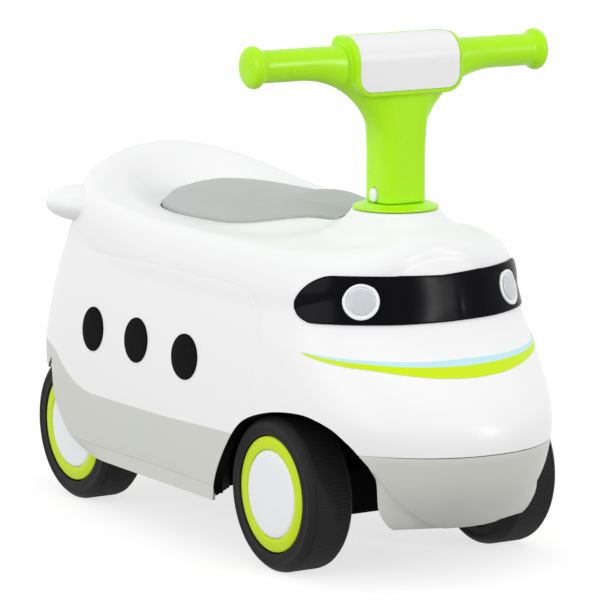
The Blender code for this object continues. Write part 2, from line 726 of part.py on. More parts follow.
def make_chassis():
    half = half_count(BODY_COUNTS)
    first = next(k for k in range(half) if plan_point(body_plan(0.1), k, BODY_COUNTS)[1] > -0.165)
    chassis = skirt_strip("chassis", list(range(first, half + 1)), SKIRT_BOTTOM)
    boolean(chassis, arch_cutter())
    top = DECK_BOTTOM + DECK_THICKNESS
    deck = plate("deck", deck_outline(DECK_BOTTOM, WALL + UPSTAND_GAP + UPSTAND_LEAN + 0.0010), DECK_BOTTOM, top)
    boolean(deck, box("ahead_of_deck", (-0.2, -0.4, 0.1), (0.2, DECK_FRONT, 0.2)))
    boolean(chassis, deck, "UNION")
    cutter(deck)
    for side in (1, -1):
        boolean(chassis, arch_liner(side), "UNION")
        low, high = sorted_pair(side, 0.036, 0.0385, DECK_FRONT + 0.002, REAR_AXLE_Y + 0.05, DECK_BOTTOM - 0.012,
                                top - 0.0005)
        boolean(chassis, box("deck_rib", low, high), "UNION")
        x = side * AXLE_BRACKET_X
        wide = AXLE_BRACKET_THICKNESS / 2
        bracket = box("axle_bracket", (x - wide, REAR_AXLE_Y - 0.022, AXLE_Z - 0.016),
                      (x + wide, REAR_AXLE_Y + 0.022, top - 0.0005))
        boolean(chassis, bracket, "UNION")
        boolean(chassis, rear_notch(side))
        for px, py in BODY_SCREWS:
            boolean(chassis, rod("deck_screw_hole", SCREW_RADIUS + GAP, (side * px, py, 0.12),
                                 (side * px, py, 0.14), 8))
    boolean(chassis, rod("axle_bush_holes", AXLE_RADIUS + RUNNING_GAP + 0.003 + GAP,
                         (-0.07, REAR_AXLE_Y, AXLE_Z), (0.07, REAR_AXLE_Y, AXLE_Z), 16))
    for side in (1, -1):
        boolean(chassis, rod("wheel_room", WHEEL_RADIUS + 0.0018, (side * 0.066, REAR_AXLE_Y, AXLE_Z),
                             (side * (REAR_WHEEL_FACE + 0.0004), REAR_AXLE_Y, AXLE_Z), 28))
    return chassis


def make_housing():
    """Black plate over the front wheels that carries the lower steering bush."""
    top = HOUSING_BOTTOM + HOUSING_THICKNESS
    outline = deck_outline(HOUSING_BOTTOM, WALL + 0.0015)
    housing = link(plate("front_wheel_housing", outline, HOUSING_BOTTOM, top), "front_wheel_housing", BLACK)
    boolean(housing, box("behind_housing", (-0.2, HOUSING_REAR, 0.1), (0.2, 0.4, 0.2)))
    boolean(housing, box("ahead_of_housing", (-0.2, -0.4, 0.1), (0.2, HOUSING_FRONT, 0.2)))
    wall = box("housing_wall", (-HOUSING_WALL_X, HOUSING_REAR - HOUSING_THICKNESS, HOUSING_WALL_BOTTOM),
               (HOUSING_WALL_X, HOUSING_REAR, HOUSING_BOTTOM + 0.001))
    boolean(housing, wall, "UNION")
    boss = rod("bush_boss", 0.025, (0, STEER_Y, HOUSING_BOTTOM - 0.006), (0, STEER_Y, top + 0.003))
    boolean(housing, boss, "UNION")
    boolean(housing, rod("lower_bush_hole", SHAFT_RADIUS + RUNNING_GAP + BUSH_WALL + GAP, (0, STEER_Y, 0.1),
                         (0, STEER_Y, 0.15)))
    x, y = HOUSING_SCREW
    for side in (1, -1):
        boolean(housing, rod("housing_hole", SCREW_RADIUS + GAP, (side * x, y, 0.12), (side * x, y, 0.15), 8))
    return housing


def sorted_pair(side, x_in, x_out, y_low, y_high, z_low, z_high):
    low, high = sorted((side * x_in, side * x_out))
    return (low, y_low, z_low), (high, y_high, z_high)


def bumper_row(z, inset=0.0, steps=9):
    """Half a level of the bumper: round the nose to the wheel arch, then back to the return wall."""
    edge_y = arch_front(z)
    low, high = 0.0, float(BODY_COUNTS[0])
    for _ in range(30):
        middle = (low + high) / 2
        if plan_point(body_plan(z, inset), middle, BODY_COUNTS)[1] < edge_y:
            low = middle
        else:
            high = middle
    row = [wall_point(low * i / steps, z, inset) for i in range(steps + 1)]
    x, y, _ = row[-1]
    row.append((x - 0.0018, y + 0.0012, z))
    if y > RETURN_WALL_Y - 0.002:
        row.append((x - 0.0036, y + 0.0024, z))
    else:
        row.append((return_wall(z), RETURN_WALL_Y, z))
    return row


def make_bumper():
    seam = seam_height(-0.25) - GAP / 2
    inner = WALL + UPSTAND_GAP
    bottom = SKIRT_BOTTOM + 0.0008
    levels = [(bottom, 0.0), (0.052, 0.0), (0.063, 0.0), (0.080, 0.0), (seam, 0.0), (seam, inner),
              (seam + UPSTAND_RISE, inner + UPSTAND_LEAN)]
    rings = []
    for z, inset in levels:
        right = bumper_row(z, inset)
        left = [(-x, y, z_) for x, y, z_ in reversed(right[1:])]
        rings.append(left + right)
    points, faces = loft(rings, closed=False)
    bumper = solidify(mesh_object("front_bumper", points, faces, GREY), THIN_WALL + 0.0003)
    x, y = BUMPER_SCREW
    top = bumper_tab_top()
    for side in (1, -1):
        edge = -plan_y(x + 0.006, top, inner + 0.0022)
        low, high = sorted_pair(side, x - 0.006, x + 0.006, -edge, y + 0.007, top - 0.003, top)
        boolean(bumper, box("screw_tab", low, high), "UNION")
        boolean(bumper, rod("tab_hole", SCREW_RADIUS + GAP, (side * x, y, 0.10), (side * x, y, 0.13), 8))
    return bumper


def plan_y(x, z, inset):
    """Reach of the nose at one place across the car."""
    width, start, end, power = body_plan(z, inset)[:4]
    return start + (end - start) * (1 - (abs(x) / width) ** power) ** (1 / power)


def bin_column(k):
    """Seat bin from its flange under the body's skin, over the lid's ledge and down to the floor."""
    neck = 1 - smooth_step((k - 5.0) / 1.5)
    under = WALL * 1.25 + 0.0016
    ledge = BIN_LEDGE * (1 - neck) + GAP * neck
    out_x, out_y = seat_outline(k, BIN_COUNTS, -BIN_FLANGE)
    in_x, in_y = seat_outline(k, BIN_COUNTS, ledge)
    low_x, low_y = seat_outline(k, BIN_COUNTS, ledge + 0.0015 * (1 - neck) + 0.0003)
    drop = under + 0.012 + 0.014 * neck
    floor = DECK_BOTTOM + DECK_THICKNESS + GAP + THIN_WALL
    wall_x, wall_y = plan_point(BIN_PLAN, k, BIN_COUNTS)
    column = [(out_x, out_y, top_height(out_x, out_y) - under),
              (in_x, in_y, top_height(in_x, in_y) - under),
              (low_x, low_y, top_height(in_x, in_y) - drop),
              (wall_x, wall_y, 0.232)]
    centre_y = (BIN_FRONT + BIN_REAR) / 2
    for scale, z in ((0.965, floor + 0.006), (0.93, floor)):
        column.append((wall_x * scale, centre_y + (wall_y - centre_y) * scale, z))
    return column


def make_bin():
    columns = [bin_column(k) for k in range(half_count(BIN_COUNTS) + 1)]
    rings = [ring(lambda k, row=row: columns[k][row], BIN_COUNTS) for row in range(len(columns[0]))]
    points, faces = loft(rings)
    fan_to(points, faces, len(rings[0]), (0, (BIN_FRONT + BIN_REAR) / 2, columns[0][-1][2]))
    item = mesh_object("storage_bin", points, faces, GREY)
    solidify(item, THIN_WALL, even=False)
    for side in (1, -1):
        low, high = sorted((side * LUG_INNER, side * LUG_OUTER))
        outline = [(LID_HINGE_Y + LUG_RADIUS, LUG_FOOT), (LID_HINGE_Y + LUG_RADIUS, LID_HINGE_Z)]
        for i in range(1, 8):
            turn = math.pi * i / 8
            outline.append((LID_HINGE_Y + LUG_RADIUS * math.cos(turn), LID_HINGE_Z + LUG_RADIUS * math.sin(turn)))
        outline += [(LID_HINGE_Y - LUG_RADIUS, LID_HINGE_Z), (LID_HINGE_Y - LUG_RADIUS, LUG_FOOT)]
        boolean(item, prism("hinge_lug", outline, low, high), "UNION")
    boolean(item, rod("pin_holes", HINGE_PIN_RADIUS + GAP, (-0.03, LID_HINGE_Y, LID_HINGE_Z),
                      (0.03, LID_HINGE_Y, LID_HINGE_Z), 12))
    return item


def lid_point(k, inset):
    x, y = seat_outline(k, SEAT_COUNTS, inset)
    ease = LID_NECK_EASE * smooth_step((-0.080 - y) / 0.020)
    return max(x - ease, 0.0), max(y, LID_FRONT + inset - LID_GAP)


def lid_height(x, y):
    """Crowned top of the lid, above the body level at its own edge."""
    half = max(seat_half_width(min(y, SEAT_REAR - 0.0005)), 0.004)
    edge = top_height(min(half, SEAT_HALF_WIDTH), y)
    middle = (SEAT_REAR + LID_FRONT) / 2
    along = abs((y - middle) / ((SEAT_REAR - LID_FRONT) / 2))
    crown = LID_CROWN * max(1 - (x / half) ** 2, 0.0) * max(1 - along ** 4, 0.0)
    crown *= 1 - LID_NECK_FLATTENING * smooth_step((-0.050 - y) / 0.045)
    return edge + lid_rise(y) + crown


def make_lid():
    columns = []
    centre = (0.0, 0.020)
    for k in range(half_count(SEAT_COUNTS) + 1):
        edge_x, edge_y = lid_point(k, LID_GAP)
        body = top_height(edge_x, edge_y)
        rise = lid_rise(edge_y)
        column = [(edge_x, edge_y, body - WALL), (edge_x, edge_y, body + rise * 0.55)]
        for inset, share in ((LID_GAP + 0.0018, 0.88), (LID_GAP + 0.0050, 1.0)):
            x, y = lid_point(k, inset)
            column.append((x, y, body + rise * share))
        rim_x, rim_y, rim_z = column[-1]
        for scale in (0.80, 0.50, 0.20):
            x, y = rim_x * scale, centre[1] + (rim_y - centre[1]) * scale
            blend = smooth_step((1 - scale) / 0.4)
            column.append((x, y, lid_height(x, y) * blend + (rim_z + 0.002) * (1 - blend)))
        columns.append(column)
    rings = [ring(lambda k, row=row: columns[k][row], SEAT_COUNTS) for row in range(len(columns[0]))]
    points, faces = loft(rings)
    fan_to(points, faces, len(rings[0]), (0, centre[1], lid_height(0, centre[1])))
    pivot = bpy.data.objects.new("lid_pivot", None)
    pivot.location = (0, LID_HINGE_Y, LID_HINGE_Z)
    pivot.parent = CAR
    PARTS.objects.link(pivot)
    points = [(x, y - LID_HINGE_Y, z - LID_HINGE_Z) for x, y, z in points]
    item = mesh_object("seat_lid", points, faces, SEAT_GREY, pivot)
    solidify(item, LID_WALL)
    for side in (1, -1):
        x = side * KNUCKLE_OFFSET
        half = KNUCKLE_WIDTH / 2
        knuckle = rod("knuckle", KNUCKLE_RADIUS, (x - half, LID_HINGE_Y, LID_HINGE_Z),
                      (x + half, LID_HINGE_Y, LID_HINGE_Z), 16)
        boolean(item, knuckle, "UNION")
        web = box("knuckle_web", (x - half, LID_HINGE_Y - 0.0035, LID_HINGE_Z),
                  (x + half, LID_HINGE_Y + 0.0044, KNUCKLE_WEB_TOP))
        boolean(item, web, "UNION")
    boolean(item, rod("knuckle_bore", HINGE_PIN_RADIUS + GAP, (-0.024, LID_HINGE_Y, LID_HINGE_Z),
                      (0.025, LID_HINGE_Y, LID_HINGE_Z), 12))
    return item


def make_hinge_pin():
    pin = rod("lid_hinge_pin", HINGE_PIN_RADIUS, (-LUG_OUTER, LID_HINGE_Y, LID_HINGE_Z),
              (LUG_OUTER, LID_HINGE_Y, LID_HINGE_Z), 12)
    return link(pin, "lid_hinge_pin", STEEL)


def skin_point(k, z):
    """Place on the body's outer face at step k and height z."""
    column = body_column(abs(k))
    for low, high in zip(column, column[1:]):
        if low[2] <= z <= high[2]:
            share = (z - low[2]) / (high[2] - low[2])
            return Vector(low).lerp(Vector(high), share)
    return Vector(column[-1])


def offset_patch(name, grid, gap, thickness, material):
    """Sheet that stands off the body by a gap: a grid of (k, z) places on the wall."""
    rows = []
    for line in grid:
        row = []
        for k, z in line:
            side = 1 if k >= 0 else -1
            here = skin_point(k, z)
            normal = (skin_point(abs(k) + 0.05, z) - here).cross(skin_point(k, z + 0.002) - here).normalized()
            place = here + normal * gap
            row.append((side * place.x, place.y, place.z))
        rows.append(row)
    points, faces = loft(rows, closed=False)
    item = mesh_object(name, points, faces, material)
    return solidify(item, thickness, 1.0)


def make_visor():
    front = BODY_COUNTS[0]
    reach = front * VISOR_REACH
    columns = 20
    grid = []
    for row in range(5):
        line = []
        for i in range(columns + 1):
            place = math.sin(math.pi / 2 * (-1 + 2 * i / columns))
            k = reach * place
            end = max(1 - abs(place) ** 9, 0.0) ** 0.5
            middle = (VISOR_TOP + VISOR_BOTTOM) / 2 - 0.0015 * abs(place) ** 3
            half = (VISOR_TOP - VISOR_BOTTOM) / 2 * (0.34 + 0.66 * end)
            line.append((k, middle + half * (row / 2 - 1)))
        grid.append(line)
    return offset_patch("visor", grid, VISOR_GAP, VISOR_THICKNESS, BLACK)


def side_x(y, z, inset=0.0):
    """Half width of the body at one place on its side."""
    width, front_start, front_end, front_power, rear_start, rear_end, rear_power = body_plan(z, inset)
    if y > rear_start:
        return width * (1 - ((y - rear_start) / (rear_end - rear_start)) ** rear_power) ** (1 / rear_power)
    if y < front_start:
        return width * (1 - ((front_start - y) / (front_start - front_end)) ** front_power) ** (1 / front_power)
    return width


def make_window(name, y, side):
    """Thin disc on the side wall, bent to it."""
    count = 16
    stand = GAP
    points = []
    faces = []
    for i in range(count):
        turn = 2 * math.pi * i / count
        py = y + WINDOW_RADIUS * math.cos(turn)
        pz = WINDOW_HEIGHT + WINDOW_RADIUS * math.sin(turn)
        points.append((side * (side_x(py, pz) + stand), py, pz))
    fan_to(points, faces, count, (side * (side_x(y, WINDOW_HEIGHT) + stand), y, WINDOW_HEIGHT))
    if side < 0:
        faces = [tuple(reversed(face)) for face in faces]
    item = mesh_object(name, points, faces, BLACK)
    return solidify(item, WINDOW_THICKNESS, 1.0)


def pivot_at(name, location, parent=CAR):
    pivot = bpy.data.objects.new(name, None)
    pivot.location = location
    pivot.parent = parent
    PARTS.objects.link(pivot)
    return pivot


def make_wheel(place, side, centre, y):
    """Tyre, rim and hub cap, turned about an axis that points outwards from the car."""
    half = TYRE_WIDTH / 2
    pivot = pivot_at(place + "_wheel_centre", (side * centre, y, AXLE_Z))
    axis = "X" if side > 0 else "-X"
    bore = RIM_RADIUS + GAP
    shoulder = WHEEL_RADIUS - 0.0035
    tyre = [(bore, half - 0.0015), (bore + 0.004, half), (shoulder, half - 0.001), (WHEEL_RADIUS, half - 0.006),
            (WHEEL_RADIUS, -half + 0.006), (shoulder, -half + 0.001), (bore + 0.004, -half), (bore, -half + 0.0015)]
    turned(place + "_tyre", tyre, TYRE_BLACK, 28, axis, parent=pivot)
    hole = AXLE_RADIUS + RUNNING_GAP
    pocket = HUB_CAP_RADIUS + GAP
    rim = [(hole, 0.011), (0.011, 0.011), (0.011, 0.002), (pocket, 0.002), (pocket, half - 0.0006),
           (RIM_RADIUS, half - 0.0012), (RIM_RADIUS, -half + 0.001), (RIM_RADIUS - 0.006, -half + 0.001),
           (RIM_RADIUS - 0.006, -0.002), (0.011, -0.002), (0.011, -half + 0.002), (hole, -half + 0.002)]
    turned(place + "_rim", rim, WHEEL_LIME, 16, axis, parent=pivot)
    under = half - 0.0035 + GAP
    cap = [(0, half - 0.0002), (HUB_CAP_RADIUS - 0.004, half - 0.0006), (HUB_CAP_RADIUS, half - 0.0014),
           (HUB_CAP_RADIUS, under), (0, under)]
    turned(place + "_hub_cap", cap, WHITE, 16, axis, parent=pivot, closed=False)
    inner = AXLE_RADIUS + GAP
    nut = [(inner, 0.0145), (0.006, 0.0145), (0.009, 0.0125), (0.009, 0.0118), (inner, 0.0118)]
    turned(place + "_axle_nut", nut, STEEL, 12, axis, parent=pivot)
    return pivot


def make_axle(name, centre, y):
    reach = centre + 0.0148
    axle = rod(name, AXLE_RADIUS, (-reach, y, AXLE_Z), (reach, y, AXLE_Z), 16)
    return link(axle, name, STEEL)


def make_rear_bushes():
    for name, side in (("rear_axle_bush_left", 1), ("rear_axle_bush_right", -1)):
        inner = AXLE_RADIUS + RUNNING_GAP
        outer = inner + 0.003
        half = AXLE_BRACKET_THICKNESS / 2
        profile = [(inner, half + 0.0022), (outer + 0.003, half + 0.0022), (outer + 0.003, half + GAP),
                   (outer, half + GAP), (outer, -half - 0.001), (inner, -half - 0.001)]
        turned(name, profile, BLACK, 16, "X" if side > 0 else "-X",
               (side * AXLE_BRACKET_X, REAR_AXLE_Y, AXLE_Z))


def make_carrier():
    """Black beam under the steering shaft that carries the front axle."""
    reach = WHEEL_FACE - TYRE_WIDTH - 0.0025
    depth = CARRIER_HALF_DEPTH
    beam = box("front_axle_carrier", (-reach, STEER_Y - depth, CARRIER_BOTTOM),
               (reach, STEER_Y + depth, CARRIER_TOP))
    bevel = beam.modifiers.new("edges", "BEVEL")
    bevel.width = 0.003
    bevel.segments = 2
    link(beam, "front_axle_carrier", BLACK)
    socket = SHAFT_RADIUS + GAP
    boolean(beam, rod("shaft_socket", socket + 0.005, (0, STEER_Y, CARRIER_TOP - 0.01), (0, STEER_Y, SOCKET_TOP)),
            "UNION")
    boolean(beam, rod("shaft_seat", socket, (0, STEER_Y, CARRIER_TOP + 0.002), (0, STEER_Y, SOCKET_TOP + 0.01)))
    boolean(beam, rod("front_axle_hole", AXLE_RADIUS + GAP, (-0.1, STEER_Y, AXLE_Z), (0.1, STEER_Y, AXLE_Z), 16))
    return beam


def make_shaft():
    bottom = CARRIER_TOP + 0.002 + GAP
    r = SHAFT_RADIUS
    profile = [(SHAFT_BORE, SHAFT_TOP), (r, SHAFT_TOP), (r, bottom), (SHAFT_BORE, bottom)]
    shaft = turned("steering_shaft", profile, WHITE, 20, "Z", (0, STEER_Y, 0))
    boolean(shaft, button_prism("button_slots", GAP * 1.5, -0.03, 0.03))
    return shaft


def button_prism(name, growth, x_low, x_high):
    outline = []
    for i in range(16):
        turn = 2 * math.pi * i / 16
        outline.append((STEER_Y + (BUTTON_HALF_WIDE + growth) * math.cos(turn),
                        BUTTON_HEIGHT + (BUTTON_HALF_TALL + growth) * math.sin(turn)))
    return prism(name, outline, x_low, x_high)


def make_button(name, side):
    """Oval push button in the column's side, kept in by a wider foot inside the shaft."""
    face = COLUMN_HALF_WIDTH + BUTTON_STAND
    foot = 0.0080
    rows = ((foot - 0.0012, 1.25), (foot, 1.25), (foot, 1.0), (face - 0.0012, 1.0), (face - 0.0003, 0.88),
            (face, 0.60))
    rings = []
    for x, scale in rows:
        one = []
        for i in range(12):
            turn = 2 * math.pi * i / 12
            one.append((x, STEER_Y + BUTTON_HALF_WIDE * scale * math.cos(turn),
                        BUTTON_HEIGHT + BUTTON_HALF_TALL * scale * math.sin(turn)))
        rings.append(one)
    points, faces = loft(rings, start_cap=True, end_cap=True)
    if side < 0:
        points = [(-x, y, z) for x, y, z in points]
        faces = [tuple(reversed(face)) for face in faces]
    button = mesh_object(name, points, faces, WHITE)
    cup = rod("spring_cup", SPRING_RADIUS + 0.0008, (0, STEER_Y, BUTTON_HEIGHT),
              (side * (SPRING_REACH + BUTTON_TRAVEL + 0.0006), STEER_Y, BUTTON_HEIGHT), 12)
    return boolean(button, cup)


def make_button_spring():
    """Coil that pushes both buttons outwards, with its ends in their hollow feet."""
    turns, per_turn, radius = 5, 8, SPRING_RADIUS - 0.0005
    reach = SPRING_REACH - 0.0005
    data = bpy.data.curves.new("button_coil", "CURVE")
    data.dimensions = "3D"
    data.bevel_depth = 0.0005
    data.bevel_resolution = 0
    data.use_fill_caps = True
    count = turns * per_turn + 1
    spline = data.splines.new("POLY")
    spline.points.add(count - 1)
    for i in range(count):
        turn = 2 * math.pi * i / per_turn
        x = -reach + 2 * reach * i / (count - 1)
        spline.points[i].co = (x, STEER_Y + radius * math.cos(turn), BUTTON_HEIGHT + radius * math.sin(turn), 1)
    coil = bpy.data.objects.new("button_coil", data)
    bpy.context.scene.collection.objects.link(coil)
    mesh = bpy.data.meshes.new_from_object(coil.evaluated_get(bpy.context.evaluated_depsgraph_get()))
    bpy.data.objects.remove(coil, do_unlink=True)
    shape = bmesh.new()
    shape.from_mesh(mesh)
    bmesh.ops.remove_doubles(shape, verts=shape.verts, dist=0.00001)
    shape.to_mesh(mesh)
    shape.free()
    item = bpy.data.objects.new("button_spring", mesh)
    return link(item, "button_spring", STEEL)


def make_bush(name, z_low, z_high, flange_up):
    inner = SHAFT_RADIUS + RUNNING_GAP
    outer = inner + BUSH_WALL
    flange = outer + 0.003
    if flange_up:
        profile = [(inner, z_high), (flange, z_high), (flange, z_high - 0.0015), (outer, z_high - 0.0015),
                   (outer, z_low), (inner, z_low)]
    else:
        profile = [(inner, z_high), (outer, z_high), (outer, z_low + 0.0015), (flange, z_low + 0.0015),
                   (flange, z_low), (inner, z_low)]
    return turned(name, profile, PALE_GREY, 16, "Z", (0, STEER_Y, 0))


def make_collar():
    low = COLLAR_BOTTOM
    high = COLLAR_TOP
    step = low + COLLAR_THICKNESS * 0.55
    hole = SHAFT_RADIUS + GAP
    profile = [(hole, high), (COLLAR_STEP_RADIUS, high), (COLLAR_STEP_RADIUS + 0.001, step), (COLLAR_RADIUS, step),
               (COLLAR_RADIUS, low), (hole, low)]
    return turned("column_collar", profile, LIME, 24, "Z", (0, STEER_Y, 0))


def oval(a, b, count, power=2.6):
    """Points of a rounded section, anticlockwise, half sizes a and b."""
    points = []
    for i in range(count):
        turn = 2 * math.pi * i / count
        c, s = math.cos(turn), math.sin(turn)
        r = (abs(c) ** power + abs(s) ** power) ** (-1 / power)
        points.append((a * c * r, b * s * r))
    return points


def bar_column():
    """Upright column, from the collar up into the pad."""
    foot = COLLAR_TOP + GAP
    rings = []
    for z, width, depth in ((foot, 1.0, 1.0), (FLARE_BOTTOM, 0.99, 1.0), (NECK_HEIGHT, 1.12, 1.0),
                            (PAD_BOTTOM + 0.003, 1.35, 1.0),
                            (BAR_HEIGHT, 1.35, 0.7)):
        section = oval(COLUMN_HALF_WIDTH * width, COLUMN_HALF_DEPTH * depth, 24, COLUMN_POWER)
        rings.append([(x, STEER_Y + y, z) for x, y in section])
    points, faces = loft(rings, start_cap=True, end_cap=True)
    return points, faces


def flare_low(x):
    """Underside of the arms: a hollow quarter round from the column out to the grips."""
    column = COLUMN_HALF_WIDTH * 0.94
    if x <= column:
        return FLARE_BOTTOM
    if x >= FLARE_REACH:
        return BAR_HEIGHT - GRIP_RADIUS
    out = (FLARE_REACH - x) / (FLARE_REACH - column)
    return FLARE_BOTTOM + (BAR_HEIGHT - GRIP_RADIUS - FLARE_BOTTOM) * math.sqrt(1 - out * out)


def bar_arms():
    half = [0.0, COLUMN_HALF_WIDTH * 0.94, 0.0205, 0.0240, 0.030, 0.040, 0.053, 0.070, FLARE_REACH, BAR_REACH]
    stations = [-x for x in reversed(half[1:])] + half
    rings = []
    for x in stations:
        low = flare_low(abs(x))
        high = BAR_HEIGHT + GRIP_RADIUS
        share = min(abs(x) / FLARE_REACH, 1.0)
        depth = COLUMN_HALF_DEPTH * 0.88 + (GRIP_RADIUS - COLUMN_HALF_DEPTH * 0.88) * share
        power = 2.8 - 0.8 * share
        section = oval(depth, (high - low) / 2, 16, power)
        rings.append([(x, STEER_Y + y, (high + low) / 2 + z) for y, z in section])
    points, faces = loft(rings, start_cap=True, end_cap=True)
    return points, faces


def pad_line(sunk):
    """Side line of the pad from the front's lower edge, up, over the round top and down the back."""
    front, back, radius = -PAD_FRONT + sunk, PAD_BACK - sunk, 0.020 - sunk
    line = [(front, PAD_BOTTOM), (front, PAD_TOP - 0.020)]
    for i in range(1, 7):
        turn = math.pi / 2 * (1 + (6 - i) / 6)
        line.append((-PAD_FRONT + 0.020 + radius * math.cos(turn), PAD_TOP - 0.020 + radius * math.sin(turn)))
    line += [(back - 0.008, PAD_TOP - sunk), (back - 0.0025, PAD_TOP - sunk - 0.0025), (back, PAD_TOP - 0.010),
             (back, PAD_BOTTOM + 0.004)]
    return line


def pad_block():
    half = [(0.0, 0.0), (PAD_HALF_WIDTH - PAD_CORNER, 0.0)]
    for share in (0.4, 0.72, 0.93):
        half.append((PAD_HALF_WIDTH - PAD_CORNER * (1 - share), 0.0))
    half.append((PAD_HALF_WIDTH, 0.0012))
    stations = [(-x, sunk) for x, sunk in reversed(half[1:])] + half
    rings = []
    for x, sunk in stations:
        past = max(abs(x) - PAD_HALF_WIDTH + PAD_CORNER, 0.0) / PAD_CORNER
        rise = PAD_CORNER * (1 - math.sqrt(max(1 - past * past, 0.0)))
        line = pad_line(sunk)
        line[0] = (line[0][0], PAD_BOTTOM + rise)
        line[-1] = (line[-1][0], PAD_BOTTOM + rise)
        rings.append([(x, STEER_Y + y, z) for y, z in line])
    points, faces = loft(rings, start_cap=True, end_cap=True)
    return points, faces


def cover_sheet(name, sunk, growth):
    """Open sheet that follows the pad at a depth, inside its raised edge and round at the lower corners."""
    bottom = PAD_BOTTOM + PAD_RIM - growth
    reach = PAD_HALF_WIDTH - PAD_RIM + growth
    line = pad_line(sunk)[:10]
    line[0] = (line[0][0], bottom)
    if growth == 0:
        line[9] = tuple((a + b) / 2 for a, b in zip(line[8], line[9]))
    for height in (0.002, 0.005, 0.008, COVER_CORNER):
        line.insert(len([p for p in line if p[1] < bottom + height and p[0] == line[0][0]]),
                    (line[0][0], bottom + height))
    rings = []
    for index, (y, z) in enumerate(line):
        past = max(COVER_CORNER - (z - bottom), 0.0) / COVER_CORNER if index < 6 else 0.0
        width = reach - COVER_CORNER * (1 - math.sqrt(max(1 - past * past, 0.0)))
        rings.append([(width * share, STEER_Y + y, z) for share in (-1.0, -0.5, 0.0, 0.5, 1.0)])
    points, faces = loft(rings, closed=False)
    item = mesh_object(name, points, faces, PALE_GREY)
    outward_sheet(item)
    return item


def make_handlebar():
    """Two moulded halves that meet on a plane across the car and close round the shaft."""
    recess = solidify(cover_sheet("cover_recess", COVER_DROP + COVER_THICKNESS + GAP, GAP), 0.006, 1.0)
    for name, ahead in (("handlebar_front", True), ("handlebar_rear", False)):
        points, faces = bar_column()
        bar = mesh_object(name, points, faces, LIME)
        outward(bar)
        for piece, shape in (("arms", bar_arms()), ("pad", pad_block())):
            tool = mesh_object(piece, shape[0], shape[1], LIME)
            outward(tool)
            boolean(bar, tool, "UNION")
        boolean(bar, recess)
        for side in (1, -1):
            knob = turned("knob", [(0, KNOB_HALF_WIDTH), (KNOB_RADIUS * 0.62, KNOB_HALF_WIDTH * 0.86),
                                   (KNOB_RADIUS * 0.93, KNOB_HALF_WIDTH * 0.45), (KNOB_RADIUS, 0),
                                   (KNOB_RADIUS * 0.93, -KNOB_HALF_WIDTH * 0.6),
                                   (KNOB_RADIUS * 0.70, -KNOB_HALF_WIDTH), (0, -KNOB_HALF_WIDTH)],
                          LIME, 16, "X" if side > 0 else "-X", (side * KNOB_CENTRE, STEER_Y, BAR_HEIGHT),
                          closed=False)
            boolean(bar, knob, "UNION")
            low, high = sorted((side * 0.066, side * (BAR_REACH - 0.008)))
            boolean(bar, rod("grip_core", 0.008, (low, STEER_Y, BAR_HEIGHT), (high, STEER_Y, BAR_HEIGHT), 12))
        boolean(bar, box("pad_core", (-0.040, STEER_Y - 0.011, PAD_BOTTOM + 0.008),
                         (0.040, STEER_Y + 0.009, PAD_TOP - 0.012)))
        boolean(bar, rod("shaft_bore", SHAFT_RADIUS + GAP, (0, STEER_Y, BOSS_FOOT), (0, STEER_Y, SHAFT_TOP + 0.002)))
        boolean(bar, button_prism("button_windows", GAP * 1.5, -0.04, 0.04))
        for x, z in BAR_SCREWS:
            boolean(bar, rod("screw_way", SCREW_RADIUS + GAP, (x, STEER_Y - 0.010, z), (x, STEER_Y + 0.03, z), 12))
            boolean(bar, rod("screw_head_way", SCREW_HEAD_RADIUS + GAP, (x, STEER_Y + 0.006, z),
                             (x, STEER_Y + 0.03, z), 16))
        if ahead:
            half = box("front_half", (-0.2, STEER_Y - 0.1, 0.2), (0.2, STEER_Y - GAP / 2, 0.5))
        else:
            half = box("rear_half", (-0.2, STEER_Y + GAP / 2, 0.2), (0.2, STEER_Y + 0.1, 0.5))
        boolean(bar, half, "INTERSECT")


BAR_SCREWS = ((-HIGH_SCREW_X, BAR_HEIGHT), (HIGH_SCREW_X, BAR_HEIGHT), (0.0, LOW_SCREW_HEIGHT))


def make_bar_cover():
    """Pale panel bent over the pad's front and top, inside its raised edge."""
    return solidify(cover_sheet("bar_cover", COVER_DROP + COVER_THICKNESS, 0.0), COVER_THICKNESS, 1.0)


def outward_sheet(item):
    """Turns an open sheet so that its faces look forwards or up."""
    total = Vector((0, 0, 0))
    for face in item.data.polygons:
        total += face.normal * face.area
    if total.dot(Vector((0, -1, 1))) < 0:
        item.data.flip_normals()


def make_screw(name, start, direction, length):
    """Screw with its head at start, driven along direction."""
    profile = [(0, SCREW_HEAD_HEIGHT), (SCREW_HEAD_RADIUS * 0.7, SCREW_HEAD_HEIGHT), (SCREW_HEAD_RADIUS, 0.0004),
               (SCREW_HEAD_RADIUS, 0), (SCREW_RADIUS, 0), (SCREW_RADIUS, -length + 0.002), (0, -length)]
    axis = {"up": "Z", "forward": "Y"}[direction]
    item = turned(name, profile, STEEL, 6, "Z", start, closed=False)
    if axis == "Z":
        item.rotation_euler = (math.radians(180), 0, 0)
    else:
        item.rotation_euler = (math.radians(-90), 0, 0)
    return item


def make_screws():
    number = 1
    for side in (1, -1):
        for x, y in BODY_SCREWS:
            make_screw("body_screw_%d" % number, (side * x, y, DECK_BOTTOM - GAP), "up", 0.018)
            number += 1
    for name, side in (("left", 1), ("right", -1)):
        x, y = BUMPER_SCREW
        make_screw("bumper_screw_" + name, (side * x, y, bumper_tab_top() - 0.003 - GAP), "up", 0.016)
        x, y = HOUSING_SCREW
        make_screw("housing_screw_" + name, (side * x, y, HOUSING_BOTTOM - GAP), "up", 0.018)
    for i, (x, z) in enumerate(BAR_SCREWS):
        make_screw("bar_screw_%d" % (i + 1), (x, STEER_Y + 0.006 + GAP, z), "forward", 0.014)


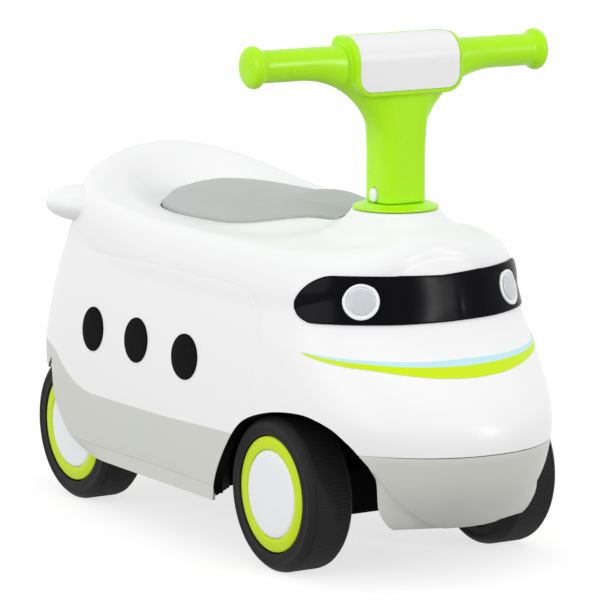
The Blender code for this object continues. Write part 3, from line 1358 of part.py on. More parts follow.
def make_car():
    make_body_shell()
    make_chassis()
    make_housing()
    make_bumper()
    make_bin()
    make_lid()
    make_hinge_pin()
    make_visor()
    for name, side in (("left", 1), ("right", -1)):
        for i, y in enumerate(WINDOW_Y):
            make_window("window_%s_%d" % (name, i + 1), y, side)
    for end, centre, y in (("front", WHEEL_CENTRE, STEER_Y), ("rear", REAR_WHEEL_CENTRE, REAR_AXLE_Y)):
        make_wheel(end + "_left", 1, centre, y)
        make_wheel(end + "_right", -1, centre, y)
        make_axle(end + "_axle", centre, y)
    make_rear_bushes()
    make_carrier()
    make_shaft()
    make_bush("upper_steering_bush", BOSS_FOOT - 0.0062, BOSS_TOP - GAP, False)
    top = HOUSING_BOTTOM + HOUSING_THICKNESS + 0.003
    make_bush("lower_steering_bush", HOUSING_BOTTOM - 0.008, top + GAP + 0.0015, True)
    make_collar()
    make_handlebar()
    make_bar_cover()
    make_button("lock_button_left", 1)
    make_button("lock_button_right", -1)
    make_button_spring()
    make_screws()
    steering = pivot_at("steering_pivot", (0, STEER_Y, BAR_HEIGHT))
    hang(steering, ["front_axle_carrier", "front_axle", "steering_shaft", "column_collar", "handlebar_front",
                    "handlebar_rear", "bar_cover", "button_spring", "bar_screw_1", "bar_screw_2", "bar_screw_3",
                    "front_left_wheel_centre", "front_right_wheel_centre"])
    for side in ("left", "right"):
        button = pivot_at("lock_button_pivot_" + side, (0, STEER_Y, BUTTON_HEIGHT))
        hang(button, ["lock_button_" + side])
        hang(steering, [button.name])


def hang(pivot, names):
    """Parents pieces to an empty on their joint axis and leaves them where they are."""
    for name in names:
        item = bpy.data.objects[name]
        item.location = Vector(item.location) - Vector(pivot.location)
        item.parent = pivot


make_car()
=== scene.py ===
"""Ride-on car for a small child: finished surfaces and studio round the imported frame.

Metres. +X is the rider's left, -Y is the front, +Z is up. The shape tables count Y from mid-wheelbase,
and BOX_SHIFT moves every piece to the frame's own origin.
"""

import bisect
import functools
import json
import math

import bmesh
import bpy
from mathutils import Matrix, Vector


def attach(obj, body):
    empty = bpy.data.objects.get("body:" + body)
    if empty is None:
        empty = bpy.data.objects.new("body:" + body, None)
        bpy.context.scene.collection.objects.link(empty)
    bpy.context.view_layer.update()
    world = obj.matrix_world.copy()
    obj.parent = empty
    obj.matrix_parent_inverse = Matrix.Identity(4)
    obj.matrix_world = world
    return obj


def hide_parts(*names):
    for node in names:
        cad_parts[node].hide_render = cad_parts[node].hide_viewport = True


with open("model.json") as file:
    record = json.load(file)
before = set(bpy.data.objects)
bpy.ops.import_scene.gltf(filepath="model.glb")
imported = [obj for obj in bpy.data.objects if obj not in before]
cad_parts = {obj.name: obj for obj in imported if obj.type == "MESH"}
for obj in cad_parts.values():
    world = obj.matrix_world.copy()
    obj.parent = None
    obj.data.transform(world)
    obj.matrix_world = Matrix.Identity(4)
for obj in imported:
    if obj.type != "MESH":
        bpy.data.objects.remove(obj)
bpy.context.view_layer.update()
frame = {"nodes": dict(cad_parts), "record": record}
BOX_SHIFT = 0.01925

# Wheels and axles
WHEELBASE = 0.328
STEER_Y = -WHEELBASE / 2
REAR_Y = WHEELBASE / 2
WHEEL_RADIUS = 0.063
TYRE_WIDTH = 0.041
FRONT_WHEEL_X = 0.0975
REAR_WHEEL_X = 0.0977
RIM_RADIUS = 0.047
CAP_RADIUS = 0.0353

# Body walls: half width, reaches, and how far each level stands in
WALL = 0.003
SKIRT_WALL = 0.0025
BODY_HALF_WIDTH = 0.1255
NOSE_REACH = 0.3085
TAIL_REACH = 0.270
FRONT_START = -0.100
REAR_START = 0.100
TAIL_POWER = 3.3
SIDE_INSET = ((0.040, 0.0080), (0.056, 0.0015), (0.080, 0.0003), (0.101, 0.0), (0.130, 0.0010),
              (0.160, 0.0033), (0.200, 0.0085), (0.235, 0.0155), (0.262, 0.0255), (0.300, 0.0300))
NOSE_INSET = ((0.040, 0.0350), (0.055, 0.0225), (0.075, 0.0100), (0.095, 0.0028), (0.110, 0.0),
              (0.124, 0.0017), (0.140, 0.0095), (0.157, 0.0225), (0.180, 0.0465), (0.2015, 0.0670),
              (0.240, 0.0775), (0.256, 0.0865), (0.276, 0.1000))
TAIL_INSET = ((0.040, 0.0380), (0.060, 0.0250), (0.090, 0.0080), (0.130, 0.0), (0.165, 0.0075),
              (0.200, 0.0200), (0.236, 0.0345), (0.277, 0.0470), (0.300, 0.0540))
NOSE_POWER = ((0.040, 1.85), (0.060, 1.98), (0.080, 2.1), (0.108, 2.2), (0.157, 2.4), (0.200, 2.7),
              (0.240, 2.6), (0.276, 2.2))
SEAM_HEIGHT = ((-0.300, 0.108), (-0.100, 0.1045), (0.000, 0.101), (0.115, 0.100), (0.140, 0.104),
               (0.165, 0.1145), (0.190, 0.128), (0.210, 0.131))
SEAM_LIFT = 0.0001

# Top of the body
RIM_HALF_WIDTH = 0.098
RIM_FRONT = -0.206
BACKREST_CENTRE_Y = 0.125
BACKREST_REACH = 0.088
BACKREST_RISE = 0.035
SHOULDER_DROP = 0.048
CREST_DROP = 0.020
SHOULDER_POWER = 2.2
SEAT_LEVEL = ((-0.205, 0.2555), (-0.164, 0.256), (-0.118, 0.2600), (-0.090, 0.2620), (-0.060, 0.2600),
              (-0.030, 0.2570), (0.000, 0.2555), (0.060, 0.2553), (0.165, 0.2540))
SHOULDER_LEVEL = ((-0.205, 0.2500), (-0.120, 0.2520), (-0.040, 0.2545), (0.000, 0.2555), (0.050, 0.2565),
                  (0.100, 0.2600), (0.135, 0.2635), (0.220, 0.2620))
MOUND_RISE = 0.0225
MOUND_RADIUS = 0.038
MOUND_SPREAD = 0.035
SEAT_SIDE_SPREAD = 0.35
BOSS_TOP = 0.2837

# Seat opening and lid
SEAT_HALF_WIDTH = 0.0665
SEAT_CENTRE_Y = 0.050
SEAT_REAR = 0.165
SEAT_FRONT = -0.1275
NECK_NARROWING = ((-0.1175, 0.0365), (-0.100, 0.0325), (-0.080, 0.0255), (-0.060, 0.0185), (-0.030, 0.0085),
                  (0.000, 0.0030), (0.050, 0.0))
LID_GAP = 0.0012
LID_CROWN = 0.0160
LID_FRONT = -0.1202
LID_NECK_EASE = 0.0014
LID_NECK_FLATTENING = 0.65
LID_WALL = 0.0028
LID_RISE = ((-0.1205, 0.0004), (-0.112, 0.0020), (-0.100, 0.0040), (-0.085, 0.0058), (-0.060, 0.0074),
            (-0.020, 0.0070), (0.165, 0.0070))
LID_HINGE_Y = -0.098
LID_HINGE_Z = 0.268
KNUCKLE_RADIUS = 0.0055
KNUCKLE_OFFSET = 0.015
KNUCKLE_WIDTH = 0.006
KNUCKLE_WEB_TOP = 0.2752
PIN_WAY_RADIUS = 0.0024

# Skirt, deck, bumper and arches
SKIRT_BOTTOM = 0.0443
DECK_BOTTOM = 0.1285
DECK_TOP = 0.1315
DECK_FRONT = -0.0605
FRONT_ARCH = ((-0.0830, 0.000), (-0.0835, 0.044), (-0.0890, 0.064), (-0.1010, 0.0845), (-0.1172, 0.1055),
              (-0.1300, 0.1168), (-0.1450, 0.1240), (-0.1640, 0.1295), (-0.1800, 0.1322), (-0.1960, 0.1332),
              (-0.2100, 0.1320), (-0.2289, 0.1260), (-0.2410, 0.1180), (-0.2509, 0.1086), (-0.2628, 0.0903),
              (-0.2689, 0.0725), (-0.2715, 0.0560), (-0.2720, 0.0440), (-0.2720, 0.000))
ARCH_TOP = 9
RETURN_WALL_Y = -0.256
RETURN_WALL_X = ((0.040, 0.0560), (0.0441, 0.0600), (0.0491, 0.0668), (0.0644, 0.0752), (0.0849, 0.0767),
                 (0.100, 0.0860))

# Side crease and the upright seam ahead of the side panel
CREASE_HEIGHT = ((-0.130, 0.2205), (-0.090, 0.2238), (-0.050, 0.2228), (0.031, 0.2224), (0.074, 0.2209),
                 (0.109, 0.2196), (0.147, 0.2180))
SEAM_Y = ((0.110, -0.1435), (0.1274, -0.1428), (0.136, -0.1413), (0.152, -0.1424), (0.169, -0.1450),
          (0.192, -0.1425), (0.209, -0.1370), (0.2205, -0.1290))
GROOVE_DEPTH = 0.00022

# Handlebar
BAR_HEIGHT = 0.404
BAR_REACH = 0.128
GRIP_RADIUS = 0.013
KNOB_CENTRE = 0.133
KNOB_RADIUS = 0.017
KNOB_HALF_WIDTH = 0.0065
COLUMN_HALF_WIDTH = 0.0202
COLUMN_HALF_DEPTH = 0.0188
FLARE_BOTTOM = 0.328
FLARE_REACH = 0.091
PAD_HALF_WIDTH = 0.0507
PAD_FRONT = 0.022
PAD_BACK = 0.018
PAD_BOTTOM = 0.3765
PAD_TOP = 0.424
PAD_ROLL = 0.020
PAD_RIM = 0.0040
PAD_CORNER = 0.016
PAD_BACK_ROUND = ((0.008, 0.0), (0.0048, 0.0008), (0.0025, 0.0025), (0.0008, 0.0052))
COVER_CORNER = 0.011
COVER_THICKNESS = 0.0016
COVER_DROP = 0.0005
COLUMN_FOOT = 0.2895
SHAFT_RADIUS = 0.0135
BUTTON_HEIGHT = 0.2957
BUTTON_HALF_TALL = 0.0058
BUTTON_HALF_WIDE = 0.0050

# How finely the body's rings are divided: nose to side, side, side to tail
NOSE_STEPS = 40
SIDE_STEPS = 12
TAIL_STEPS = 32
HALF_STEPS = NOSE_STEPS + SIDE_STEPS + TAIL_STEPS


def smooth_step(value):
    value = min(max(value, 0.0), 1.0)
    return value * value * (3 - 2 * value)


def curve_through(points):
    """Smooth curve through (position, value) points that never overshoots them."""
    xs = [p[0] for p in points]
    ys = [p[1] for p in points]
    slopes = [(ys[i + 1] - ys[i]) / (xs[i + 1] - xs[i]) for i in range(len(xs) - 1)]
    tangents = [slopes[0]]
    for before, after in zip(slopes, slopes[1:]):
        tangents.append(0.0 if before * after <= 0 else 2 * before * after / (before + after))
    tangents.append(slopes[-1])

    def value(x):
        x = min(max(x, xs[0]), xs[-1])
        i = min(max(i for i in range(len(xs)) if xs[i] <= x), len(xs) - 2)
        span = xs[i + 1] - xs[i]
        t = (x - xs[i]) / span
        return (ys[i] * (1 + 2 * t) * (1 - t) ** 2 + span * tangents[i] * t * (1 - t) ** 2
                + ys[i + 1] * t * t * (3 - 2 * t) + span * tangents[i + 1] * t * t * (t - 1))

    return value


def smooth_line(points, per_span):
    """Rounded line through points, with extra points in each span."""
    line = []
    for i in range(len(points) - 1):
        before = Vector(points[max(i - 1, 0)])
        start, end = Vector(points[i]), Vector(points[i + 1])
        after = Vector(points[min(i + 2, len(points) - 1)])
        bend = 2 * before - 5 * start + 4 * end - after
        twist = 3 * start - 3 * end + after - before
        for j in range(per_span):
            t = j / per_span
            line.append(0.5 * (2 * start + (end - before) * t + bend * t ** 2 + twist * t ** 3))
    line.append(Vector(points[-1]))
    return [tuple(p) for p in line]


def circle(count):
    """Cosine and sine of each of a number of equal turns."""
    return [(math.cos(2 * math.pi * i / count), math.sin(2 * math.pi * i / count)) for i in range(count)]


def squared_radius(c, s, power):
    """Radius of a rounded square of half width 1, in the direction with this cosine and sine."""
    return (abs(c) ** power + abs(s) ** power) ** (-1 / power)


def edge_round(distance, radius):
    """Share of its full height that a surface has at a distance in from its rounded edge."""
    return math.sqrt(max(1 - (1 - min(distance / radius, 1.0)) ** 2, 0.0))


def last_before(low, high, is_before, rounds=26):
    """Step up to which is_before(step) holds, found by halving the way from low to high."""
    for _ in range(rounds):
        middle = (low + high) / 2
        if is_before(middle):
            low = middle
        else:
            high = middle
    return low


def side_name(side):
    return "left" if side > 0 else "right"


def between(side, near, far):
    """Lower and higher X of a piece that runs from near to far on one side of the car."""
    return sorted((side * near, side * far))


side_inset = curve_through(SIDE_INSET)
nose_inset = curve_through(NOSE_INSET)
tail_inset = curve_through(TAIL_INSET)
nose_power = curve_through(NOSE_POWER)
seam_height = curve_through(SEAM_HEIGHT)
seat_level = curve_through(SEAT_LEVEL)
shoulder_level = curve_through(SHOULDER_LEVEL)
neck_narrowing = curve_through(NECK_NARROWING)
lid_rise = curve_through(LID_RISE)
crease_height = curve_through(CREASE_HEIGHT)
seam_y = curve_through(SEAM_Y)
arch_rear = curve_through([(z, y) for y, z in FRONT_ARCH[:ARCH_TOP + 1]])
arch_front = curve_through([(z, y) for y, z in reversed(FRONT_ARCH[ARCH_TOP:])])
return_wall = curve_through(RETURN_WALL_X)


# Mesh helpers

def new_piece(name, points, faces, sharp=35):
    mesh = bpy.data.meshes.new(name)
    mesh.from_pydata([(p[0], p[1] + BOX_SHIFT, p[2]) for p in points], [], faces)
    mesh.validate()
    piece = bpy.data.objects.new(name, mesh)
    bpy.context.scene.collection.objects.link(piece)
    shade(piece, sharp)
    return piece


def shade(piece, sharp):
    piece.data.shade_smooth()
    piece.data.set_sharp_from_angle(angle=math.radians(sharp))


def add_modifier(piece, kind, **settings):
    change = piece.modifiers.new(kind.lower(), kind)
    for key, value in settings.items():
        setattr(change, key, value)
    return piece


def thicken(piece, thickness, offset=-1.0, even=True):
    return add_modifier(piece, "SOLIDIFY", thickness=thickness, offset=offset, use_even_offset=even)


def settle(piece, sharp=35):
    """Applies the piece's modifiers, so that sharp edges are found on the final surface."""
    bpy.context.view_layer.update()
    graph = bpy.context.evaluated_depsgraph_get()
    mesh = bpy.data.meshes.new_from_object(piece.evaluated_get(graph))
    old = piece.data
    piece.modifiers.clear()
    piece.data = mesh
    mesh.name = piece.name
    bpy.data.meshes.remove(old)
    shade(piece, sharp)
    return piece


def cut(piece, tools, operation="DIFFERENCE"):
    """Cuts or joins closed tools, one after another, and leaves none of them behind."""
    for tool in tools:
        change = piece.modifiers.new("cut", "BOOLEAN")
        change.operation = operation
        change.solver = "MANIFOLD"
        change.object = tool
    settle(piece)
    for tool in tools:
        mesh = tool.data
        bpy.data.objects.remove(tool, do_unlink=True)
        bpy.data.meshes.remove(mesh)
    return piece


def loft(rings, closed=True, start_cap=False, end_cap=False):
    """Skin over rings of equal length. Rings that rise while they turn anticlockwise face outwards."""
    count = len(rings[0])
    points = [tuple(p) for one in rings for p in one]
    faces = []
    for row in range(len(rings) - 1):
        a, b = row * count, (row + 1) * count
        for i in range(count if closed else count - 1):
            j = (i + 1) % count
            faces.append((a + i, a + j, b + j, b + i))
    if start_cap:
        faces.append(tuple(reversed(range(count))))
    if end_cap:
        faces.append(tuple(range(len(points) - count, len(points))))
    return points, faces


def fan_to(points, faces, count, centre):
    last = len(points) - count
    points.append(centre)
    for i in range(count):
        faces.append((last + i, last + (i + 1) % count, len(points) - 1))


def face_out(piece):
    shape = bmesh.new()
    shape.from_mesh(piece.data)
    bmesh.ops.recalc_face_normals(shape, faces=shape.faces)
    shape.to_mesh(piece.data)
    shape.free()
    return piece


def closed_loft(name, rings, sharp=35):
    points, faces = loft(rings, start_cap=True, end_cap=True)
    return face_out(new_piece(name, points, faces, sharp))


def prism(name, outline, low, high):
    """Closed prism along X from a side outline of (y, z) points."""
    return closed_loft(name, [[(x, y, z) for y, z in outline] for x in (low, high)])


def slab(name, low, high, bevel=0.0006):
    """Moulded block with its edges eased."""
    x0, y0, z0 = low
    x1, y1, z1 = high
    rings = []
    for z, inset in ((z0, bevel), (z0 + bevel, 0.0), (z1 - bevel, 0.0), (z1, bevel)):
        corners = ((x0, y0, 1, 1), (x1, y0, -1, 1), (x1, y1, -1, -1), (x0, y1, 1, -1))
        ring = []
        for x, y, sx, sy in corners:
            first, second = (0, bevel), (bevel, 0)
            if sx * sy < 0:
                first, second = second, first
            for ex, ey in (first, second):
                ring.append((x + sx * (inset + ex), y + sy * (inset + ey), z))
        rings.append(ring)
    return closed_loft(name, rings, 25)


def rod(name, radius, start, end, sides=32):
    start, end = Vector(start), Vector(end)
    turn = Vector((0, 0, 1)).rotation_difference(end - start).to_matrix()
    return closed_loft(name, [[centre + turn @ Vector((radius * c, radius * s, 0)) for c, s in circle(sides)]
                              for centre in (start, end)])


def upright(name, radius, x, y, low, high, sides=32):
    return rod(name, radius, (x, y, low), (x, y, high), sides)


def crosswise(name, radius, start, end, y, z, sides=32):
    return rod(name, radius, (start, y, z), (end, y, z), sides)


def turned(name, profile, centre, axis="Z", steps=64, shift=None, sharp=35):
    """Turns a closed profile of (radius, height) points. shift(turn index, radius, height) may move one."""
    centre = Vector(centre)
    bases = {"Z": (Vector((1, 0, 0)), Vector((0, 1, 0)), Vector((0, 0, 1))),
             "X": (Vector((0, 1, 0)), Vector((0, 0, 1)), Vector((1, 0, 0))),
             "-X": (Vector((0, 0, 1)), Vector((0, 1, 0)), Vector((-1, 0, 0)))}
    one, two, along = bases[axis]
    points, index, faces = [], [], []
    for i, (c, s) in enumerate(circle(steps)):
        out = one * c + two * s
        row = []
        for j, (r, h) in enumerate(profile):
            if r <= 0 and i > 0:
                row.append(index[0][j])
                continue
            radius = max(r, 0.0) + (shift(i, r, h) if shift and r > 0 else 0.0)
            row.append(len(points))
            points.append(centre + out * radius + along * h)
        index.append(row)
    open_ends = profile[0][0] <= 0 and profile[-1][0] <= 0
    spans = len(profile) - (1 if open_ends else 0)
    for i in range(steps):
        for j in range(spans):
            k = (j + 1) % len(profile)
            a, b = index[i], index[(i + 1) % steps]
            face = []
            for v in (a[j], b[j], b[k], a[k]):
                if v not in face:
                    face.append(v)
            if len(face) > 2:
                faces.append(face)
    return face_out(new_piece(name, points, faces, sharp))


def rounded_profile(corners, radius, steps=3):
    """Closed profile with its corners rounded. A corner is (radius, height), and may add its own rounding."""
    line = []
    count = len(corners)
    for i, corner in enumerate(corners):
        here = Vector(corner[:2])
        size = corner[2] if len(corner) > 2 else radius
        before, after = Vector(corners[i - 1][:2]), Vector(corners[(i + 1) % count][:2])
        if size <= 0 or here.x <= 0:
            line.append(tuple(here))
            continue
        to_before, to_after = before - here, after - here
        start = here + to_before.normalized() * min(size, to_before.length * 0.45)
        end = here + to_after.normalized() * min(size, to_after.length * 0.45)
        for j in range(steps + 1):
            t = j / steps
            line.append(tuple(start * (1 - t) ** 2 + here * (2 * t * (1 - t)) + end * t * t))
    return line


# Body surface

def plan_point(shape, k, steps=(NOSE_STEPS, SIDE_STEPS, TAIL_STEPS)):
    width, front_start, front_end, front_power, rear_start, rear_end, rear_power = shape
    front, side, rear = steps
    if k <= front or k >= front + side:
        ahead = k <= front
        turn = math.pi / 2 * (1 - k / front if ahead else (k - front - side) / rear)
        power = front_power if ahead else rear_power
        c, s = max(math.cos(turn), 0.0), max(math.sin(turn), 0.0)
        r = squared_radius(c, s, power)
        start, end = (front_start, front_end) if ahead else (rear_start, rear_end)
        return width * c * r, start + (end - start) * s * r
    return width, front_start + (rear_start - front_start) * (k - front) / side


def body_plan(z, inset=0.0):
    return (BODY_HALF_WIDTH - side_inset(z) - inset, FRONT_START, -(NOSE_REACH - nose_inset(z) - inset),
            nose_power(z), REAR_START, TAIL_REACH - tail_inset(z) - inset, TAIL_POWER)


RIM_PLAN = (RIM_HALF_WIDTH, FRONT_START, RIM_FRONT, 2.4,
            BACKREST_CENTRE_Y, BACKREST_CENTRE_Y + BACKREST_REACH, 2.0)


def wall_point(k, z, inset=0.0):
    x, y = plan_point(body_plan(z, inset), k)
    return x, y, z


def seam_at(k):
    return seam_height(plan_point(body_plan(0.11), k)[1])


def side_x(y, z, inset=0.0):
    """Half width of the body at one place on its side."""
    width, front_start, front_end, front_power, rear_start, rear_end, rear_power = body_plan(z, inset)
    if y > rear_start:
        past, power = (y - rear_start) / (rear_end - rear_start), rear_power
    elif y < front_start:
        past, power = (front_start - y) / (front_start - front_end), front_power
    else:
        return width
    return width * (1 - past ** power) ** (1 / power)


def top_height(x, y):
    """Height of the body's top: levels round the seat, the mound under the steering, and the backrest."""
    from_seat = math.hypot(x / RIM_HALF_WIDTH, (y - 0.03) / 0.19)
    rise = smooth_step((from_seat - 0.70) / 0.25)
    level = seat_level(y) + (shoulder_level(y) - seat_level(y)) * rise
    from_column = max(math.hypot(x, y - STEER_Y) - MOUND_RADIUS, 0.0)
    spread = MOUND_SPREAD * (1 + SEAT_SIDE_SPREAD * smooth_step((y - STEER_Y) / 0.05))
    mound = MOUND_RISE * math.exp(-from_column / spread)
    back = 0.0
    if y > BACKREST_CENTRE_Y:
        ahead = (y - BACKREST_CENTRE_Y) / BACKREST_REACH
        out = math.hypot(x / (RIM_HALF_WIDTH + 0.005), ahead)
        back = BACKREST_RISE * (ahead / out) ** 1.8 * smooth_step((out - 0.5) / 0.5)
    return level + mound + back


def seat_half_width(y):
    if y > SEAT_CENTRE_Y:
        back = (y - SEAT_CENTRE_Y) / (SEAT_REAR - SEAT_CENTRE_Y)
        return SEAT_HALF_WIDTH * math.sqrt(max(1 - back ** 2, 0.0))
    return SEAT_HALF_WIDTH - neck_narrowing(y)


def seat_edge(k):
    neck_y, side_front, side_rear = SEAT_FRONT + 0.010, -0.090, 0.100
    if k <= NOSE_STEPS / 2:
        turn = math.pi / 2 * k / (NOSE_STEPS / 2)
        x = seat_half_width(neck_y) * math.sin(turn)
        return x, SEAT_FRONT + (neck_y - SEAT_FRONT) * (1 - math.cos(turn))
    if k <= NOSE_STEPS:
        y = neck_y + (side_front - neck_y) * (k - NOSE_STEPS / 2) / (NOSE_STEPS / 2)
        return seat_half_width(y), y
    if k <= NOSE_STEPS + SIDE_STEPS:
        y = side_front + (side_rear - side_front) * (k - NOSE_STEPS) / SIDE_STEPS
        return seat_half_width(y), y
    begin = math.asin((side_rear - SEAT_CENTRE_Y) / (SEAT_REAR - SEAT_CENTRE_Y))
    turn = begin + (math.pi / 2 - begin) * (k - NOSE_STEPS - SIDE_STEPS) / TAIL_STEPS
    return SEAT_HALF_WIDTH * math.cos(turn), SEAT_CENTRE_Y + (SEAT_REAR - SEAT_CENTRE_Y) * math.sin(turn)


def seat_outline(k, inset=0.0):
    x, y = seat_edge(k)
    if inset == 0.0:
        return max(x, 0.0), y
    ax, ay = seat_edge(max(k - 0.2, 0))
    bx, by = seat_edge(min(k + 0.2, HALF_STEPS))
    if k == 0:
        return 0.0, y + inset
    if k == HALF_STEPS:
        return 0.0, y - inset
    length = math.hypot(bx - ax, by - ay)
    return max(x - inset * (by - ay) / length, 0.0), y + inset * (bx - ax) / length


@functools.lru_cache(maxsize=None)
def shoulder_frame(k):
    """Rim point at step k, how far the shoulder drops from it, and the wall's last point."""
    rim_x, rim_y = plan_point(RIM_PLAN, k)
    rim_z = top_height(rim_x, rim_y)
    drop = CREST_DROP + (SHOULDER_DROP - CREST_DROP) * (rim_x / RIM_HALF_WIDTH) ** 2
    wall_x, wall_y, _ = wall_point(k, rim_z - drop)
    return rim_x, rim_y, rim_z, drop, wall_x, wall_y


def on_shoulder(k, out, up):
    """Point of the shoulder at step k: out is 1 at the wall and 0 at the rim, up the other way round."""
    rim_x, rim_y, rim_z, drop, wall_x, wall_y = shoulder_frame(k)
    return Vector((rim_x + (wall_x - rim_x) * out, rim_y + (wall_y - rim_y) * out, rim_z - drop + drop * up))


@functools.lru_cache(maxsize=None)
def side_line(k):
    """Outer line of the body at step k, from the seam up the wall and over the shoulder to the rim."""
    _, _, rim_z, drop, _, _ = shoulder_frame(k)
    low, high = seam_at(k) + SEAM_LIFT, rim_z - drop
    line = [Vector(wall_point(k, low + (high - low) * i / 24)) for i in range(25)]
    for i in range(1, 17):
        turn = math.pi / 2 * i / 16
        out = max(math.cos(turn), 0.0) ** (2 / SHOULDER_POWER)
        line.append(on_shoulder(k, out, math.sin(turn) ** (2 / SHOULDER_POWER)))
    return line


def skin(k, z):
    """Place on the body's outer face at step k and height z. A negative k is on the right-hand side."""
    _, _, rim_z, drop, _, _ = shoulder_frame(abs(k))
    up = (z - rim_z + drop) / drop
    if up <= 0:
        point = Vector(wall_point(abs(k), z))
    else:
        up = min(up, 1.0)
        point = on_shoulder(abs(k), (1 - up ** SHOULDER_POWER) ** (1 / SHOULDER_POWER), up)
    if k < 0:
        point.x = -point.x
    return point


def skin_normal(k, z):
    here = skin(abs(k), z)
    normal = (skin(abs(k) + 0.2, z) - here).cross(skin(abs(k), z + 0.002) - here).normalized()
    if k < 0:
        normal.x = -normal.x
    return normal


@functools.lru_cache(maxsize=None)
def nose_row(z):
    return [skin(k / 2, z).x for k in range(2 * NOSE_STEPS + 1)]


def nose_step(x, z):
    """Step round the nose whose place on the skin has this x."""
    row = nose_row(round(z, 5))
    at = min(max(bisect.bisect_left(row, abs(x)), 1), len(row) - 1)
    step = (at - 1 + (abs(x) - row[at - 1]) / (row[at] - row[at - 1])) / 2
    return step if x >= 0 else -step


@functools.lru_cache(maxsize=None)
def seam_step(z):
    """Step round the nose at which the upright seam crosses height z."""
    return last_before(NOSE_STEPS / 2, float(NOSE_STEPS), lambda k: wall_point(k, z)[1] < seam_y(z))


def line_lengths(line):
    total = [0.0]
    for a, b in zip(line, line[1:]):
        total.append(total[-1] + (b - a).length)
    return total


def along_line(line, lengths, distance):
    distance = min(max(distance, 0.0), lengths[-1])
    for i in range(len(line) - 1):
        if distance <= lengths[i + 1]:
            return line[i].lerp(line[i + 1], (distance - lengths[i]) / (lengths[i + 1] - lengths[i]))
    return line[-1].copy()


def crease_distance(line, lengths):
    for i in range(len(line) - 1):
        target = crease_height(line[i + 1].y)
        if line[i + 1].z >= target:
            share = (target - line[i].z) / (line[i + 1].z - line[i].z)
            return lengths[i] + share * (lengths[i + 1] - lengths[i])
    return lengths[-1] * 0.6


# Body shell

WALL_ROWS = 26
SHOULDER_ROWS = 20
TOP_ROWS = 30
GROOVE_HALF = 0.0011
SEAM_MIDDLE_HEIGHT = 0.17
SEAT_LIP_WIDTH = 0.0014
SEAT_LIP_DROP = 0.0009

BOSS_FLARE = curve_through(((0.0, 0.2812), (0.0365, 0.2812), (0.0385, 0.2790), (0.0410, 0.2766),
                            (0.0440, 0.2743), (0.0480, 0.2716), (0.0520, 0.2692), (0.0560, 0.2668),
                            (0.0620, 0.2630)))
BOSS_FLARE_REACH = 0.062
FLARE_BLEND = 0.0030
BOSS_HOLE = 0.0186
BOSS_BASE = 0.2742
BOSS_PROFILE = ((BOSS_HOLE, BOSS_BASE), (BOSS_HOLE, BOSS_TOP), (0.0335, BOSS_TOP),
                (0.0350, BOSS_TOP - 0.0004), (0.0360, BOSS_TOP - 0.0013), (0.0371, BOSS_TOP - 0.0029),
                (0.0371, 0.2775), (BOSS_HOLE + 0.001, BOSS_BASE))

# Screw posts inside the body: place and foot of each, then the pair in the nose
POSTS = ((0.108, -0.040, 0.1319), (0.108, 0.085, 0.1319), (0.107, -0.112, 0.1374))
POST_RADIUS = 0.0055
POST_TOP = 0.176
WEB_FOOT = 0.150
WEB_TOP = 0.1745
WEB_HALF_WIDTH = 0.0016
NOSE_SCREW_X = 0.045
NOSE_SCREW_Y = -0.268
NOSE_POST_RADIUS = 0.0050
SCREW_HOLE_RADIUS = 0.0020

FIN_CENTRE = (0.090, 0.184, 0.2525)
FIN_HALF_SIZE = (0.036, 0.028, 0.016)
FIN_TURN = 45


def flared(point):
    """Lifts the body's top into the hollow flare of the steering boss."""
    reach = math.hypot(point.x, point.y - STEER_Y)
    if reach < BOSS_FLARE_REACH:
        flare = BOSS_FLARE(reach)
        gap = abs(flare - point.z)
        higher = max(flare, point.z) + max(FLARE_BLEND - gap, 0.0) ** 2 / (4 * FLARE_BLEND)
        fade = smooth_step((BOSS_FLARE_REACH - reach) / 0.008)
        point = Vector((point.x, point.y, point.z + (higher - point.z) * fade))
    return point


def shell_place(k, row):
    """Point of the shell at step k: row 0 is the seam, WALL_ROWS the crease, then come rim and seat."""
    if row <= WALL_ROWS + SHOULDER_ROWS:
        line = side_line(k)
        lengths = line_lengths(line)
        crease = crease_distance(line, lengths)
        if row < WALL_ROWS:
            distance = (crease - GROOVE_HALF) * row / (WALL_ROWS - 1)
        elif row == WALL_ROWS:
            distance = crease
        else:
            share = (row - WALL_ROWS - 1) / (SHOULDER_ROWS - 1)
            distance = crease + GROOVE_HALF + (lengths[-1] - crease - GROOVE_HALF) * share
        return along_line(line, lengths, distance)
    rim_x, rim_y = plan_point(RIM_PLAN, k)
    seat_x, seat_y = seat_outline(k)
    step = row - WALL_ROWS - SHOULDER_ROWS
    span = math.hypot(seat_x - rim_x, seat_y - rim_y)
    lip = min(SEAT_LIP_WIDTH / max(span, 0.0015), 0.5)
    share = 1.0 if step == TOP_ROWS else (1 - lip) * step / (TOP_ROWS - 1)
    x, y = rim_x + (seat_x - rim_x) * share, rim_y + (seat_y - rim_y) * share
    return Vector((x, y, top_height(x, y) - (SEAT_LIP_DROP if step == TOP_ROWS else 0.0)))


def shell_column(k, on_seam):
    base = seam_step(SEAM_MIDDLE_HEIGHT)
    pull = math.exp(-((k - base) / 6.0) ** 2)
    column = []
    for row in range(WALL_ROWS + SHOULDER_ROWS + TOP_ROWS + 1):
        point = shell_place(k, row)
        if row <= WALL_ROWS + SHOULDER_ROWS and pull > 0.01:
            moved = k + (seam_step(round(min(point.z, 0.2205), 4)) - base) * pull
            point = shell_place(moved, row)
        sink = 0.0
        if on_seam and 0 < row <= WALL_ROWS:
            sink = GROOVE_DEPTH * smooth_step((point.z - 0.112) / 0.015)
        if row == WALL_ROWS and k >= base:
            sink = GROOVE_DEPTH * (1 - smooth_step((point.y - 0.11) / 0.06))
        if sink:
            point = point - skin_normal(k, point.z) * sink
        column.append(flared(point) if row > WALL_ROWS else point)
    return column


